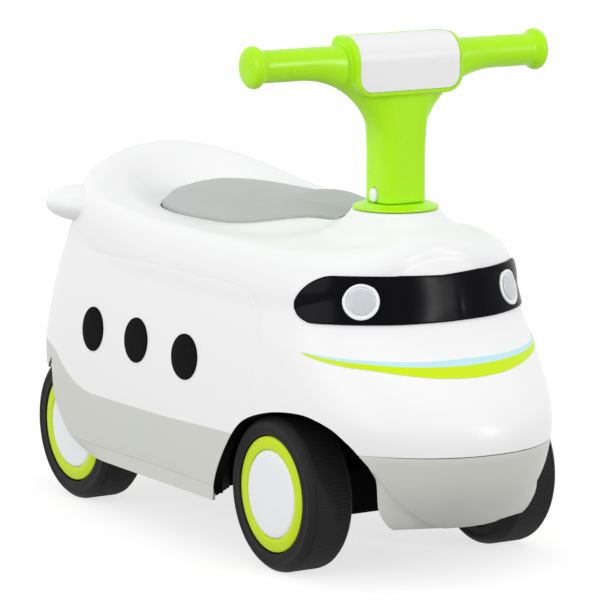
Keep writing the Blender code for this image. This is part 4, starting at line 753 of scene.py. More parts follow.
def mirrored_ring(right):
    """Whole ring from its half on the +X side, which starts and ends on the middle plane."""
    return list(right) + [(-p[0], p[1], p[2]) for p in reversed(right[1:-1])]


def arch_cutter():
    return prism("arch", smooth_line(FRONT_ARCH, 5), -0.2, 0.2)


def make_shell():
    base = seam_step(SEAM_MIDDLE_HEIGHT)
    steps = [(float(k), False) for k in range(HALF_STEPS + 1) if abs(k - base) > 0.5]
    steps += [(base - 0.12, False), (base, True), (base + 0.12, False)]
    columns = [shell_column(k, on_seam) for k, on_seam in sorted(steps)]
    rings = [mirrored_ring([column[row] for column in columns]) for row in range(len(columns[0]))]
    shell = thicken(new_piece("body_skin", *loft(rings)), WALL)
    joined = [turned("boss", BOSS_PROFILE, (0, STEER_Y, 0), steps=96), fin(1), fin(-1)]
    settle(shell)
    cut(shell, [arch_cutter(), upright("column_hole", BOSS_HOLE + 0.004, 0, STEER_Y, 0.25, 0.2745, 48)])
    for side in (1, -1):
        for x, y, foot in POSTS:
            joined.append(upright("post", POST_RADIUS, side * x, y, foot, POST_TOP, 24))
            low, high = between(side, x, side_x(y, WEB_TOP) - 0.0012)
            joined.append(slab("web", (low, y - WEB_HALF_WIDTH, WEB_FOOT),
                               (high, y + WEB_HALF_WIDTH, WEB_TOP), 0.0003))
        joined.append(upright("nose_post", NOSE_POST_RADIUS, side * NOSE_SCREW_X, NOSE_SCREW_Y,
                              0.1179, 0.1622, 24))
    cut(shell, joined, "UNION")
    cut(shell, [upright("column_way", BOSS_HOLE, 0, STEER_Y, 0.25, 0.30, 64)])
    shade(shell, 38)
    return shell


def fin(side):
    """Rounded fin that grows out of a rear corner."""
    x, y, z = FIN_CENTRE
    long, wide, tall = FIN_HALF_SIZE
    turn = Matrix.Rotation(math.radians(FIN_TURN if side > 0 else 180 - FIN_TURN), 3, "Z")
    rings = []
    for j in range(1, 24):
        high = math.pi * (j / 24 - 0.5)
        level = math.cos(high)
        rings.append([Vector((side * x, y, z)) + turn @ Vector((long * c * level, wide * s * level,
                                                               tall * math.sin(high)))
                      for c, s in circle(48)])
    return closed_loft("fin", rings)


# Skirt, deck and bumper

SKIRT_ROWS = (0.0672, 0.0740, 0.0810, 0.0870, 0.0930)
SKIRT_CREASE = curve_through(((-0.150, 0.0566), (-0.081, 0.0570), (-0.033, 0.0574), (0.017, 0.0577),
                              (0.050, 0.0573), (0.085, 0.0566), (0.149, 0.0565), (0.290, 0.0565)))
SKIRT_STEP = 0.0007

# Opening beside a rear wheel: where its long curve starts, how high it ends, and its way out to the tail
NOTCH_FRONT = 0.106
NOTCH_TOP = 0.110
NOTCH_TAIL = ((0.224, 0.1095), (0.240, 0.1080), (0.32, 0.1060), (0.32, 0.0), (NOTCH_FRONT, 0.0))
NOTCH_INNER_X = 0.064
WHEEL_CLEARANCE = 0.0018

# The skirt's and bumper's hidden top edges stand in behind the body's wall
TUCK_LOW = 0.0040
TUCK_MIDDLE = 0.0046
TUCK_TOP = 0.0052
TUCK_HEIGHT = 0.016
DECK_INSET = 0.0062
# Foot of the black arch lining and arch lip, which are painted shade
SHADE_LINING_FOOT = 0.0478


def skirt_column(k):
    seam = seam_at(k)
    crease = SKIRT_CREASE(wall_point(k, 0.060)[1])
    low = [SKIRT_BOTTOM, 0.0475, 0.0515, crease - 0.0018, crease - 0.0006, crease, crease + 0.0016]
    heights = low + [z for z in SKIRT_ROWS if z < seam - 0.004] + [seam - 0.0012, seam]
    while len(heights) < len(low) + len(SKIRT_ROWS) + 4:
        gaps = [(heights[i + 1] - heights[i], i) for i in range(len(heights) - 1)]
        width, i = max(gaps)
        heights.insert(i + 1, heights[i] + width / 2)
    column = [wall_point(k, z, skirt_inset(k, z, crease)) for z in heights]
    top = max(seam + TUCK_HEIGHT, DECK_TOP)
    return column + [wall_point(k, seam, TUCK_LOW), wall_point(k, (seam + top) / 2, TUCK_MIDDLE),
                     wall_point(k, top, TUCK_TOP)]


def skirt_inset(k, z, crease):
    """Below its crease the skirt steps in a little, and along the sides it hangs straight down from there."""
    if z > crease - 0.0003:
        return 0.0
    y = wall_point(k, z)[1]
    straight = smooth_step((0.150 - y) / 0.060)
    return SKIRT_STEP - straight * (side_inset(z) - side_inset(crease))


def make_skirt():
    first = next(k for k in range(HALF_STEPS) if plan_point(body_plan(0.1), k)[1] > -0.150)
    right = [skirt_column(k / 2) for k in range(2 * first, 2 * HALF_STEPS + 1)]
    columns = right + [[(-x, y, z) for x, y, z in column] for column in reversed(right[:-1])]
    rings = [[column[row] for column in columns] for row in range(len(columns[0]))]
    skirt = settle(thicken(new_piece("side_skirt", *loft(rings, closed=False)), SKIRT_WALL))
    cut(skirt, [arch_cutter(), wheel_notch(1), wheel_notch(-1)])
    return cut(skirt, [crosswise("room", WHEEL_RADIUS + WHEEL_CLEARANCE, side * 0.066, side * 0.1186,
                                 REAR_Y, WHEEL_RADIUS, 64) for side in (1, -1)])


def wheel_notch(side):
    """Cutter for the opening beside a rear wheel."""
    outline = []
    for i in range(25):
        turn = math.pi / 2 * i / 24
        out = math.sin(turn)
        reach = 0.088 * out + 0.0020 * out ** 2 + 0.0160 * out ** 16
        outline.append((NOTCH_FRONT + reach, NOTCH_TOP - (NOTCH_TOP - SKIRT_BOTTOM) * math.cos(turn)))
    outline += NOTCH_TAIL
    return prism("wheel_notch", outline, *between(side, NOTCH_INNER_X, 0.2))


def arch_shade_liner(side):
    """Black sheet on the skirt's return behind the front wheel: painted shade on grey plastic that lies in
    shadow.
    """
    rings = []
    seam = seam_height(-0.11)
    for z, inset in ((SHADE_LINING_FOOT, 0.0012), (0.060, 0.0012), (0.080, 0.0012), (seam - 0.006, 0.0012),
                     (seam - 0.002, 0.0054), (0.118, 0.0054), (DECK_BOTTOM + 0.001, 0.0054)):
        y = arch_rear(z) + 0.0014
        x = side_x(y, z, inset)
        rise = 0.0024 if z < 0.050 else 0.0
        rings.append([(side * (x + (0.100 - x) * i / 6), y + (-0.0694 - y) * i / 6, z + rise * i / 6)
                      for i in range(7)])
    liner = new_piece("arch_shade_lining_" + side_name(side), *loft(rings, closed=False))
    return settle(thicken(liner, SKIRT_WALL, 0.0))


def arch_shade_lip(side):
    """Turned edge of the black wheel housing along the rear half of the front arch, and painted shade over
    the body wall's lit cut edge.
    """
    line = smooth_line(FRONT_ARCH, 5)
    top = max(range(len(line)), key=lambda i: line[i][1])
    rings = []
    for i in range(1, top + 1):
        y, z = line[i]
        if z < SHADE_LINING_FOOT:
            continue
        along = (Vector(line[min(i + 1, len(line) - 1)]) - Vector(line[i - 1])).normalized()
        inward = Vector((-along.y, along.x))
        x = side_x(y, z) - 0.0003
        rings.append([(side * (x - depth), y + inward.x * out, z + inward.y * out)
                      for depth, out in ((0.0, -0.0004), (0.0, 0.0006), (0.008, 0.0006), (0.008, -0.0004))])
    return closed_loft("arch_shade_lip_" + side_name(side), rings)


def make_deck():
    """Floor plate with ribs and the rear axle's brackets."""
    outline = []
    for k in range(HALF_STEPS + 1):
        x, y, _ = wall_point(k, DECK_BOTTOM, DECK_INSET)
        if y > DECK_FRONT:
            outline.append((x, y))
    x_front = side_x(DECK_FRONT, DECK_BOTTOM, DECK_INSET)
    outline = [(0.0, DECK_FRONT), (x_front, DECK_FRONT)] + outline
    ring = outline + [(-x, y) for x, y in reversed(outline[1:-1])]
    deck = closed_loft("deck_plate", [[(x, y, z) for x, y in ring] for z in (DECK_BOTTOM, DECK_TOP)])
    joined, holes = [], []
    for side in (1, -1):
        low, high = between(side, 0.036, 0.0385)
        joined.append(slab("rib", (low, DECK_FRONT + 0.002, 0.1165),
                           (high, REAR_Y + 0.05, DECK_TOP - 0.0005)))
        x = side * 0.055
        joined.append(slab("bracket", (x - 0.003, REAR_Y - 0.022, 0.047), (x + 0.003, REAR_Y + 0.022, 0.131),
                           0.0012))
        for x, y, _ in POSTS[:2]:
            holes.append(upright("screw_hole", SCREW_HOLE_RADIUS, side * x, y, 0.12, 0.14, 20))
    holes.append(crosswise("axle_hole", 0.0079, -0.07, 0.07, REAR_Y, WHEEL_RADIUS, 40))
    cut(deck, joined, "UNION")
    return cut(deck, holes)


def bumper_row(z, inset=0.0, steps=30):
    """Half a level of the bumper: round the nose to the wheel arch, then back to the return wall."""
    edge_y = arch_front(z)
    last = last_before(0.0, float(NOSE_STEPS), lambda k: wall_point(k, z, inset)[1] < edge_y, 30)
    row = [wall_point(last * i / steps, z, inset) for i in range(steps + 1)]
    x, y, _ = row[-1]
    row += [(x - 0.0005, y + 0.0002, z), (x - 0.0018, y + 0.0012, z)]
    if y > RETURN_WALL_Y - 0.002:
        row += [(x - 0.0027, y + 0.0018, z), (x - 0.0036, y + 0.0024, z)]
    else:
        end = return_wall(z)
        row += [((x - 0.0018 + end) / 2, (y + 0.0012 + RETURN_WALL_Y) / 2, z), (end, RETURN_WALL_Y, z)]
    return row


def make_bumper():
    seam = seam_height(-0.25)
    levels = [(SKIRT_BOTTOM + 0.0008, 0.0009), (0.0470, 0.0003)]
    levels += [(0.050 + (seam - 0.0515) * i / 12, 0.0) for i in range(13)]
    levels += [(seam, 0.0003), (seam, TUCK_LOW), (seam + TUCK_HEIGHT / 2, TUCK_MIDDLE),
               (seam + TUCK_HEIGHT, TUCK_TOP)]
    rings = []
    for z, inset in levels:
        right = bumper_row(z, inset)
        rings.append([(-x, y, z_) for x, y, z_ in reversed(right[1:])] + right)
    bumper = settle(thicken(new_piece("bumper_skin", *loft(rings, closed=False)), SKIRT_WALL))
    tabs, holes = [], []
    near, far, low_z, high_z = NOSE_SCREW_X - 0.006, NOSE_SCREW_X + 0.006, 0.1145, 0.1175
    width, start, end, power = body_plan(high_z, DECK_INSET)[:4]
    reach = start + (end - start) * (1 - (far / width) ** power) ** (1 / power)
    for side in (1, -1):
        low, high = between(side, near, far)
        tabs.append(slab("tab", (low, reach, low_z), (high, NOSE_SCREW_Y + 0.007, high_z), 0.0004))
        holes.append(upright("tab_hole", SCREW_HOLE_RADIUS, side * NOSE_SCREW_X, NOSE_SCREW_Y,
                             0.10, 0.13, 20))
    cut(bumper, tabs, "UNION")
    return cut(bumper, holes)


# Seat lid

LID_CENTRE = Vector((0.0, 0.020))
LID_STEP = 0.0005
LID_ROLL = 0.011


def lid_height(x, y):
    half = max(seat_half_width(min(y, SEAT_REAR - 0.0005)), 0.004)
    edge = top_height(min(half, SEAT_HALF_WIDTH), y)
    middle = (SEAT_REAR + LID_FRONT) / 2
    along = abs((y - middle) / ((SEAT_REAR - LID_FRONT) / 2))
    crown = LID_CROWN * max(1 - (x / half) ** 2, 0.0) * max(1 - along ** 4, 0.0)
    crown *= 1 - LID_NECK_FLATTENING * smooth_step((-0.050 - y) / 0.045)
    return edge + lid_rise(y) + crown


def lid_terraces(x, y):
    """Three shallow steps that follow ovals on the seat and die out towards its neck."""
    ahead = y + 0.030
    outer = (abs(x) / 0.0603) ** 2.6 + (abs(y) / (0.129 if y > 0 else 0.112)) ** 2.6
    middle = (abs(x) / 0.0512) ** 2.6 + (abs(y) / (0.116 if y > 0 else 0.0985)) ** 2.6
    inner = (abs(x) / 0.0328) ** 2.6 + (abs(ahead) / (0.0625 if ahead > 0 else 0.0600)) ** 2.6
    steps = 0.0
    for contour, softness in ((outer, 0.040), (middle, 0.045), (inner, 0.070)):
        steps += smooth_step((1 + softness - contour) / (2 * softness))
    return LID_STEP * steps * smooth_step((y + 0.112) / 0.030)


def lid_edge(k, inset):
    x, y = seat_outline(k, inset)
    ease = LID_NECK_EASE * smooth_step((-0.080 - y) / 0.020)
    return Vector((max(x - ease, 0.0), max(y, LID_FRONT + inset - LID_GAP)))


def make_lid():
    columns = []
    shares = [math.sin(math.pi / 2 * i / 12) * 0.18 for i in range(13)]
    shares += [0.18 + 0.79 * i / 60 for i in range(1, 61)]
    for k in range(HALF_STEPS + 1):
        edge = lid_edge(k, LID_GAP)
        body = top_height(edge.x, edge.y)
        rise = lid_rise(edge.y)
        rim = lid_edge(k, LID_GAP + 0.0006)
        column = [(edge.x, edge.y, body - WALL), (edge.x, edge.y, body - 0.0010),
                  (edge.x, edge.y, body + rise * 0.30)]
        for share in shares:
            at = rim.lerp(LID_CENTRE, share)
            from_edge = (at - rim).length
            sunk = lid_rise(at.y) * 0.58 * (1 - edge_round(from_edge, LID_ROLL))
            settle_in = smooth_step(from_edge / 0.012)
            level = lid_height(at.x, at.y) * settle_in + (body + rise) * (1 - settle_in)
            column.append((at.x, at.y, level - sunk + lid_terraces(at.x, at.y) - LID_STEP * 2))
        columns.append(column)
    rings = [mirrored_ring([column[row] for column in columns]) for row in range(len(columns[0]))]
    points, faces = loft(rings)
    middle = lid_height(0, LID_CENTRE.y) + LID_STEP
    fan_to(points, faces, len(rings[0]), (0, LID_CENTRE.y, middle))
    lid = settle(thicken(new_piece("seat_lid_skin", points, faces), LID_WALL, even=False))
    knuckles = []
    for side in (1, -1):
        low, high = side * KNUCKLE_OFFSET - KNUCKLE_WIDTH / 2, side * KNUCKLE_OFFSET + KNUCKLE_WIDTH / 2
        knuckles.append(crosswise("knuckle", KNUCKLE_RADIUS, low, high, LID_HINGE_Y, LID_HINGE_Z))
        knuckles.append(slab("web", (low, LID_HINGE_Y - 0.0035, LID_HINGE_Z),
                             (high, LID_HINGE_Y + 0.0044, KNUCKLE_WEB_TOP)))
    cut(lid, knuckles, "UNION")
    cut(lid, [crosswise("pin_way", PIN_WAY_RADIUS, -0.024, 0.025, LID_HINGE_Y, LID_HINGE_Z)])
    shade(lid, 30)
    return lid


# Front panel, its two round lamps, the stripe and the side discs

VISOR_TOP = ((-0.2304, 0.2387), (-0.2271, 0.2404), (-0.2166, 0.2413), (-0.2039, 0.2412), (-0.1999, 0.2406),
             (-0.1958, 0.2389), (-0.1911, 0.2359), (-0.1869, 0.2321), (-0.1829, 0.2271), (-0.1801, 0.2221),
             (-0.1788, 0.2170))
VISOR_LOW = ((-0.2433, 0.2026), (-0.2373, 0.2031), (-0.2283, 0.2037), (-0.2191, 0.2038), (-0.2099, 0.2038),
             (-0.2020, 0.2036), (-0.1952, 0.2037), (-0.1886, 0.2057), (-0.1838, 0.2085), (-0.1807, 0.2120),
             (-0.1788, 0.2170))


def step_at(y, z):
    """Step round the nose at which the skin reaches this y at height z."""
    return last_before(0.0, float(NOSE_STEPS), lambda k: skin(k, z).y < y)


def by_turn(outline, reach):
    """Curve of height against the turn whose sine is the share of the way round, from points (y, z)."""
    line = [(0.0, outline[0][1])]
    line += [(math.asin(min(step_at(y, z) / reach, 1.0)), z) for y, z in outline[1:]]
    return curve_through(line)


VISOR_WRINKLES = ((-0.0775, 0.2195, 1.0), (0.0130, 0.2115, 0.6))


def visor_stand(x, z, edge):
    """Height of the panel's face over the body: a rounded edge and two small puckers."""
    stand = 0.0009 + 0.0011 * edge_round(edge, 0.0012)
    for wx, wz, size in VISOR_WRINKLES:
        dx, dz = x - wx, z - wz
        tall = math.exp(-(dx / 0.0022) ** 2 - (dz / 0.0110) ** 2)
        flat = math.exp(-(dz / 0.0014) ** 2 - (dx / 0.0090) ** 2)
        stand -= size * (0.00028 * tall + 0.00025 * flat) * min(edge / 0.004, 1.0)
    return stand


def make_visor():
    rings = []
    rows, columns = 34, 220
    reach = step_at(*VISOR_TOP[-1])
    top_line, low_line = by_turn(VISOR_TOP, reach), by_turn(VISOR_LOW, reach)
    for j in range(rows + 1):
        v = -math.cos(math.pi * j / rows)
        ring = []
        for i in range(columns + 1):
            turn = math.pi / 2 * (2 * i / columns - 1)
            k = reach * math.sin(turn)
            top, low = top_line(abs(turn)), low_line(abs(turn))
            z = (top + low) / 2 + (top - low) / 2 * v
            point = skin(k, z)
            edge = min((top - low) / 2 * (1 - abs(v)), (reach - abs(k)) * 0.003)
            ring.append(point + skin_normal(k, z) * visor_stand(point.x, z, edge))
        rings.append(ring)
    return settle(thicken(new_piece("visor_panel", *loft(rings, closed=False)), 0.0009), 60)


LAMP_X = 0.0690
LAMP_Z = 0.2215
LAMP_RING = ((0.0143, 0.0021), (0.0142, 0.0029), (0.0136, 0.0034), (0.0122, 0.0034), (0.0116, 0.0029),
             (0.0115, 0.0024), (0.0060, 0.0024))
LENS_RADIUS = 0.0098
FLUTE_PITCH = 0.0030


def nose_disc(name, x, z, profile, flutes=0.0, sides=64):
    """Round part on the curved nose. Its profile runs from outer edge to middle as (radius, stand)."""
    k = nose_step(x, z)
    centre, normal = skin(k, z), skin_normal(k, z)
    across = Vector((0, 0, 1)).cross(normal).normalized()
    sign = 1 if across.x > 0 else -1
    rings = []
    for radius, stand in profile:
        ring = []
        for c, s in circle(sides):
            level = z + radius * s * 0.985
            wanted = radius * c * sign
            guess = x + wanted * across.x
            for _ in range(4):
                step = nose_step(guess, level)
                guess += (wanted - (skin(step, level) - centre).dot(across)) * across.x
            step = nose_step(guess, level)
            fluted = flutes if radius < LENS_RADIUS else 0.0
            lift = stand + fluted * math.cos(2 * math.pi * radius * c / FLUTE_PITCH)
            ring.append(skin(step, level) + skin_normal(step, level) * lift)
        rings.append(ring)
    points, faces = loft(rings)
    fan_to(points, faces, sides, tuple(centre + normal * (profile[-1][1] + flutes)))
    return settle(thicken(face_out(new_piece(name, points, faces, 40)), 0.0006), 40)


def make_lamp(side):
    ring = nose_disc("lamp_ring_" + side_name(side), side * LAMP_X, LAMP_Z, LAMP_RING)
    profile = [(0.0104, 0.0026), (0.0103, 0.0034), (LENS_RADIUS, 0.0038)]
    profile += [(LENS_RADIUS * (1 - i / 14), 0.0038 + 0.0006 * (1 - (1 - i / 14) ** 2)) for i in range(1, 14)]
    return ring, nose_disc("lamp_lens_" + side_name(side), side * LAMP_X, LAMP_Z, profile, flutes=0.00012)


STRIPE_LOW = curve_through(((0.0, 0.1640), (0.0268, 0.1652), (0.0525, 0.1681), (0.0777, 0.1720),
                            (0.0889, 0.1733), (0.0969, 0.1750), (0.1006, 0.1762), (0.1042, 0.1779),
                            (0.1064, 0.1796), (0.1075, 0.1809)))
STRIPE_MIDDLE = curve_through(((0.0, 0.1722), (0.030, 0.1731), (0.054, 0.1743), (0.0765, 0.1761),
                               (0.0864, 0.1769), (0.0919, 0.1776), (0.0995, 0.1789), (0.1031, 0.1799),
                               (0.1058, 0.1810), (0.1075, 0.18105)))
STRIPE_TOP = curve_through(((0.0, 0.1769), (0.0362, 0.1771), (0.052, 0.1776), (0.0755, 0.1787),
                            (0.0855, 0.1793), (0.0924, 0.1798), (0.0978, 0.1803), (0.1028, 0.1809),
                            (0.1061, 0.1815), (0.1075, 0.1812)))
STRIPE_REACH = 0.1074


def make_stripe(name, lower, upper):
    rings = []
    for j in range(7):
        ring = []
        for i in range(121):
            x = STRIPE_REACH * math.sin(math.pi / 2 * (2 * i / 120 - 1))
            low, high = lower(abs(x)), upper(abs(x))
            z = low + (high - low) * j / 6
            k = nose_step(x, z)
            ring.append(skin(k, z) + skin_normal(k, z) * 0.00032)
        rings.append(ring)
    return settle(thicken(new_piece(name, *loft(rings, closed=False)), 0.00018), 60)


# Side discs: place, and width as a share of height. Their profile runs inwards as (radius, stand).
SIDE_DISCS = ((-0.0385, 0.1553, 1.10), (0.0415, 0.1570, 1.01), (0.1150, 0.1556, 0.94))
DISC_PROFILE = ((0.0187, 0.0003), (0.0187, 0.0008), (0.0184, 0.0011), (0.0178, 0.0012), (0.0120, 0.0013),
                (0.0060, 0.0013))


def make_window(name, y, z, width, side):
    rings = []
    for radius, stand in DISC_PROFILE:
        ring = []
        for c, s in circle(64):
            py, pz = y + radius * width * c, z + radius * s
            ring.append((side * (side_x(py, pz) + stand), py, pz))
        rings.append(ring)
    points, faces = loft(rings)
    fan_to(points, faces, 64, (side * (side_x(y, z) + DISC_PROFILE[-1][1]), y, z))
    return settle(thicken(face_out(new_piece(name, points, faces, 40)), 0.0007), 50)


# Wheels

TREAD_RIBS = 120
RIB_DEPTH = 0.00042
TYRE_SHOULDER = ((0.0475, 0.0012), (0.0482, 0.0004), (0.0500, 0.0002), (0.0522, 0.0010), (0.0535, 0.0012),
                 (0.0550, 0.0009), (0.0568, 0.0002), (0.0583, 0.0006), (0.0598, 0.0018), (0.0612, 0.0034),
                 (0.0621, 0.0046), (0.0624, 0.0053), (0.0619, 0.0057), (0.0624, 0.0061))
HUB_RADIUS = 0.0110
HUB_BORE = 0.0045


def make_wheel(place, side, x, y):
    half = TYRE_WIDTH / 2
    axis = "X" if side > 0 else "-X"
    centre = (side * x, y, WHEEL_RADIUS)
    tread = half - 0.0062
    profile = [(radius, half - inset) for radius, inset in TYRE_SHOULDER]
    profile += [(0.06275, tread - 0.0006), (WHEEL_RADIUS, tread - 0.0016)]
    to_tread = len(profile)
    profile += [(WHEEL_RADIUS, h) for h in (0.006, -0.006)]
    profile += [(r, -h) for r, h in reversed(profile[:to_tread])]
    profile += [(0.0474, -0.010), (0.0474, 0.010)]

    def rib(i, radius, height):
        if radius < 0.0629 or abs(height) > tread - 0.001:
            return 0.0
        return -RIB_DEPTH if i % 4 in (2, 3) else 0.0

    tyre = turned(place + "_tyre_tread", profile, centre, axis, TREAD_RIBS * 4, rib, 40)
    pocket = CAP_RADIUS + 0.0004
    rim = rounded_profile([(HUB_BORE, 0.011, 0.0), (HUB_RADIUS, 0.011, 0.0006), (HUB_RADIUS, 0.002, 0.0006),
                           (pocket, 0.002, 0.0004), (pocket, half - 0.0008, 0.0006),
                           (0.0400, half - 0.0001, 0.003), (RIM_RADIUS - 0.0005, half - 0.0014, 0.0010),
                           (RIM_RADIUS, -half + 0.001, 0.0008), (RIM_RADIUS - 0.006, -half + 0.001, 0.0008),
                           (RIM_RADIUS - 0.006, -0.002, 0.0008), (HUB_RADIUS, -0.002, 0.0006),
                           (HUB_RADIUS, -half + 0.002, 0.0006), (HUB_BORE, -half + 0.002, 0.0)], 0.001)
    ring = turned(place + "_rim_ring", rim, centre, axis, 96, None, 40)
    under = half - 0.0031
    cap = [(0.0, half), (0.0120, half - 0.0001), (0.0240, half - 0.0003), (0.0310, half - 0.0004),
           (0.0334, half - 0.0005), (0.0346, half - 0.0008), (CAP_RADIUS, half - 0.0016), (CAP_RADIUS, under),
           (0.0, under)]
    disc = turned(place + "_cap_disc", cap, centre, axis, 96, None, 40)
    return tyre, ring, disc


# Steering column, handlebar and its panel

FLARE_START = COLUMN_HALF_WIDTH * 0.94
ARM_HALF_DEPTH = COLUMN_HALF_DEPTH * 0.88

# Column from foot to bar: height, and width and depth as shares of the column's own
COLUMN_LEVELS = ((COLUMN_FOOT, 1.0, 1.0), (0.310, 0.995, 1.0), (FLARE_BOTTOM, 0.99, 1.0), (0.345, 1.04, 1.0),
                 (0.360, 1.12, 1.0), (PAD_BOTTOM + 0.003, 1.35, 1.0), (BAR_HEIGHT, 1.35, 0.7))


def oval(a, b, count, power):
    points = []
    for c, s in circle(count):
        r = squared_radius(c, s, power)
        points.append((a * c * r, b * s * r))
    return points


def bar_column():
    rings = []
    for z, width, depth in COLUMN_LEVELS:
        section = oval(COLUMN_HALF_WIDTH * width, COLUMN_HALF_DEPTH * depth, 64, 4.6)
        rings.append([(x, STEER_Y + y, z) for x, y in section])
    return closed_loft("bar_column", rings)


def flare_low(x):
    """Underside of the arms: a hollow quarter round from the column out to the grips."""
    if x <= FLARE_START:
        return FLARE_BOTTOM
    if x >= FLARE_REACH:
        return BAR_HEIGHT - GRIP_RADIUS
    out = (FLARE_REACH - x) / (FLARE_REACH - FLARE_START)
    return FLARE_BOTTOM + (BAR_HEIGHT - GRIP_RADIUS - FLARE_BOTTOM) * math.sqrt(1 - out * out)


def bar_arms():
    half = [FLARE_START + 0.0001 + (FLARE_REACH - FLARE_START) * (i / 30) ** 2 for i in range(31)]
    half += [0.100, 0.110, 0.120, BAR_REACH]
    stations = [-x for x in reversed(half)] + [0.0] + half
    rings = []
    for x in stations:
        low, high = flare_low(abs(x)), BAR_HEIGHT + GRIP_RADIUS
        share = min(abs(x) / FLARE_REACH, 1.0)
        depth = ARM_HALF_DEPTH + (GRIP_RADIUS - ARM_HALF_DEPTH) * share
        section = oval(depth, (high - low) / 2, 48, 2.8 - 0.8 * share)
        rings.append([(x, STEER_Y + y, (high + low) / 2 + z) for y, z in section])
    return closed_loft("bar_arms", rings)


def pad_line(sunk):
    """Side line of the pad from the front's lower edge, up, over the round top and down the back."""
    front, back, radius = -PAD_FRONT + sunk, PAD_BACK - sunk, PAD_ROLL - sunk
    line = [(front, PAD_BOTTOM), (front, PAD_TOP - PAD_ROLL)]
    for i in range(1, 19):
        turn = math.pi / 2 * (1 + (18 - i) / 18)
        line.append((-PAD_FRONT + PAD_ROLL + radius * math.cos(turn),
                     PAD_TOP - PAD_ROLL + radius * math.sin(turn)))
    line += [(back - inward, PAD_TOP - sunk - down) for inward, down in PAD_BACK_ROUND]
    return line + [(back, PAD_TOP - 0.010), (back, PAD_BOTTOM + 0.004)]


def bar_pad():
    half = [(0.0, 0.0), (PAD_HALF_WIDTH - PAD_CORNER, 0.0)]
    for i in range(1, 13):
        share = math.sin(math.pi / 2 * i / 12)
        half.append((PAD_HALF_WIDTH - PAD_CORNER * (1 - share), 0.0009 * share ** 12))
    stations = [(-x, sunk) for x, sunk in reversed(half[1:])] + half
    rings = []
    for x, sunk in stations:
        rise = PAD_CORNER * (1 - edge_round(PAD_HALF_WIDTH - abs(x), PAD_CORNER))
        line = pad_line(sunk)
        line[0] = (line[0][0], PAD_BOTTOM + rise)
        line[-1] = (line[-1][0], PAD_BOTTOM + rise)
        rings.append([(x, STEER_Y + y, z) for y, z in line])
    return closed_loft("bar_pad", rings)


def bar_knob(side):
    profile = [(0.0, KNOB_HALF_WIDTH)]
    for i in range(1, 24):
        a = math.pi / 2 - math.pi * i / 24
        c, s = max(math.cos(a), 0.0), math.sin(a)
        profile.append((KNOB_RADIUS * c ** 0.62, KNOB_HALF_WIDTH * math.copysign(abs(s) ** 0.9, s)))
    profile.append((0.0, -KNOB_HALF_WIDTH))
    return turned("knob", profile, (side * KNOB_CENTRE, STEER_Y, BAR_HEIGHT), "X", 64)


def cover_sheet(name, sunk, growth):
    """Open sheet that follows the pad at a depth, inside its raised edge and round at the lower corners."""
    bottom = PAD_BOTTOM + PAD_RIM - growth
    reach = PAD_HALF_WIDTH - PAD_RIM + growth
    line = [p for p in pad_line(sunk)[:22] if p[1] > bottom]
    heights = [bottom + COVER_CORNER * (1 - math.cos(math.pi / 2 * i / 14)) for i in range(15)]
    lower = [(line[0][0], z) for z in heights if z < line[0][1]]
    line = lower + line
    if growth == 0:
        line[-1] = tuple((a + b) / 2 for a, b in zip(line[-2], line[-1]))
    rings = []
    for y, z in line:
        width = reach - COVER_CORNER * (1 - edge_round(z - bottom, COVER_CORNER))
        rings.append([(width * (i / 12 - 1), STEER_Y + y, z) for i in range(25)])
    sheet = new_piece(name, *loft(rings, closed=False))
    total = sum((face.normal * face.area for face in sheet.data.polygons), Vector())
    if total.dot(Vector((0, -1, 1))) < 0:
        sheet.data.flip_normals()
    return sheet


def button_prism(name, growth, low, high):
    wide, tall = BUTTON_HALF_WIDE + growth, BUTTON_HALF_TALL + growth
    return prism(name, [(STEER_Y + wide * c, BUTTON_HEIGHT + tall * s) for c, s in circle(40)], low, high)


def make_handlebar():
    bar = bar_column()
    bar.name = "handlebar_skin"
    join_into(bar, [bar_arms(), bar_pad(), bar_knob(1), bar_knob(-1)])
    add_modifier(bar, "REMESH", mode="VOXEL", voxel_size=0.0010)
    add_modifier(bar, "SMOOTH", factor=0.5, iterations=9)
    settle(bar)
    recess = settle(thicken(cover_sheet("recess", COVER_DROP + COVER_THICKNESS + 0.0003, 0.0004), 0.006, 1.0))
    bore = upright("bore", SHAFT_RADIUS + 0.0004, 0, STEER_Y, 0.25, 0.347, 64)
    foot = upright("foot", 0.05, 0, STEER_Y, 0.27, COLUMN_FOOT + 0.0002)
    cut(bar, [face_out(recess), bore, foot, button_prism("button_way", 0.0006, -0.04, 0.04)])
    shade(bar, 40)
    cover = cover_sheet("bar_panel", COVER_DROP + COVER_THICKNESS, 0.0)
    return bar, settle(thicken(cover, COVER_THICKNESS, 1.0), 40)


def join_into(piece, others):
    shape = bmesh.new()
    for item in [piece] + others:
        shape.from_mesh(item.data)
    shape.to_mesh(piece.data)
    shape.free()
    for item in others:
        mesh = item.data
        bpy.data.objects.remove(item, do_unlink=True)
        bpy.data.meshes.remove(mesh)
    return piece


def make_collar():
    profile = [(0.0140, 0.2845), (0.0338, 0.2845), (0.0344, 0.2849), (0.0345, 0.2856), (0.0342, 0.2864),
               (0.0335, 0.2868), (0.0318, 0.2870), (0.0302, 0.2874), (0.0288, 0.2882), (0.0276, 0.2888),
               (0.0262, 0.2891), (0.0140, 0.2891)]
    return turned("collar_ring", profile, (0, STEER_Y, 0), "Z", 96, None, 30)


def make_button(name, side):
    """Oval push button, kept in by a wider hollow foot inside the shaft."""
    rows = ((0.0068, 1.25), (0.0080, 1.25), (0.0080, 1.0), (0.0150, 1.0), (0.0205, 1.0), (0.0214, 0.985),
            (0.0220, 0.94), (0.0223, 0.86), (0.0224, 0.70), (0.0225, 0.40))
    rings = [[(side * x, STEER_Y + BUTTON_HALF_WIDE * scale * c, BUTTON_HEIGHT + BUTTON_HALF_TALL * scale * s)
              for c, s in circle(36)] for x, scale in rows]
    button = closed_loft(name, rings, 40)
    return cut(button, [crosswise("cup", 0.0042, 0, side * 0.0120, STEER_Y, BUTTON_HEIGHT, 24)])


# Finishes

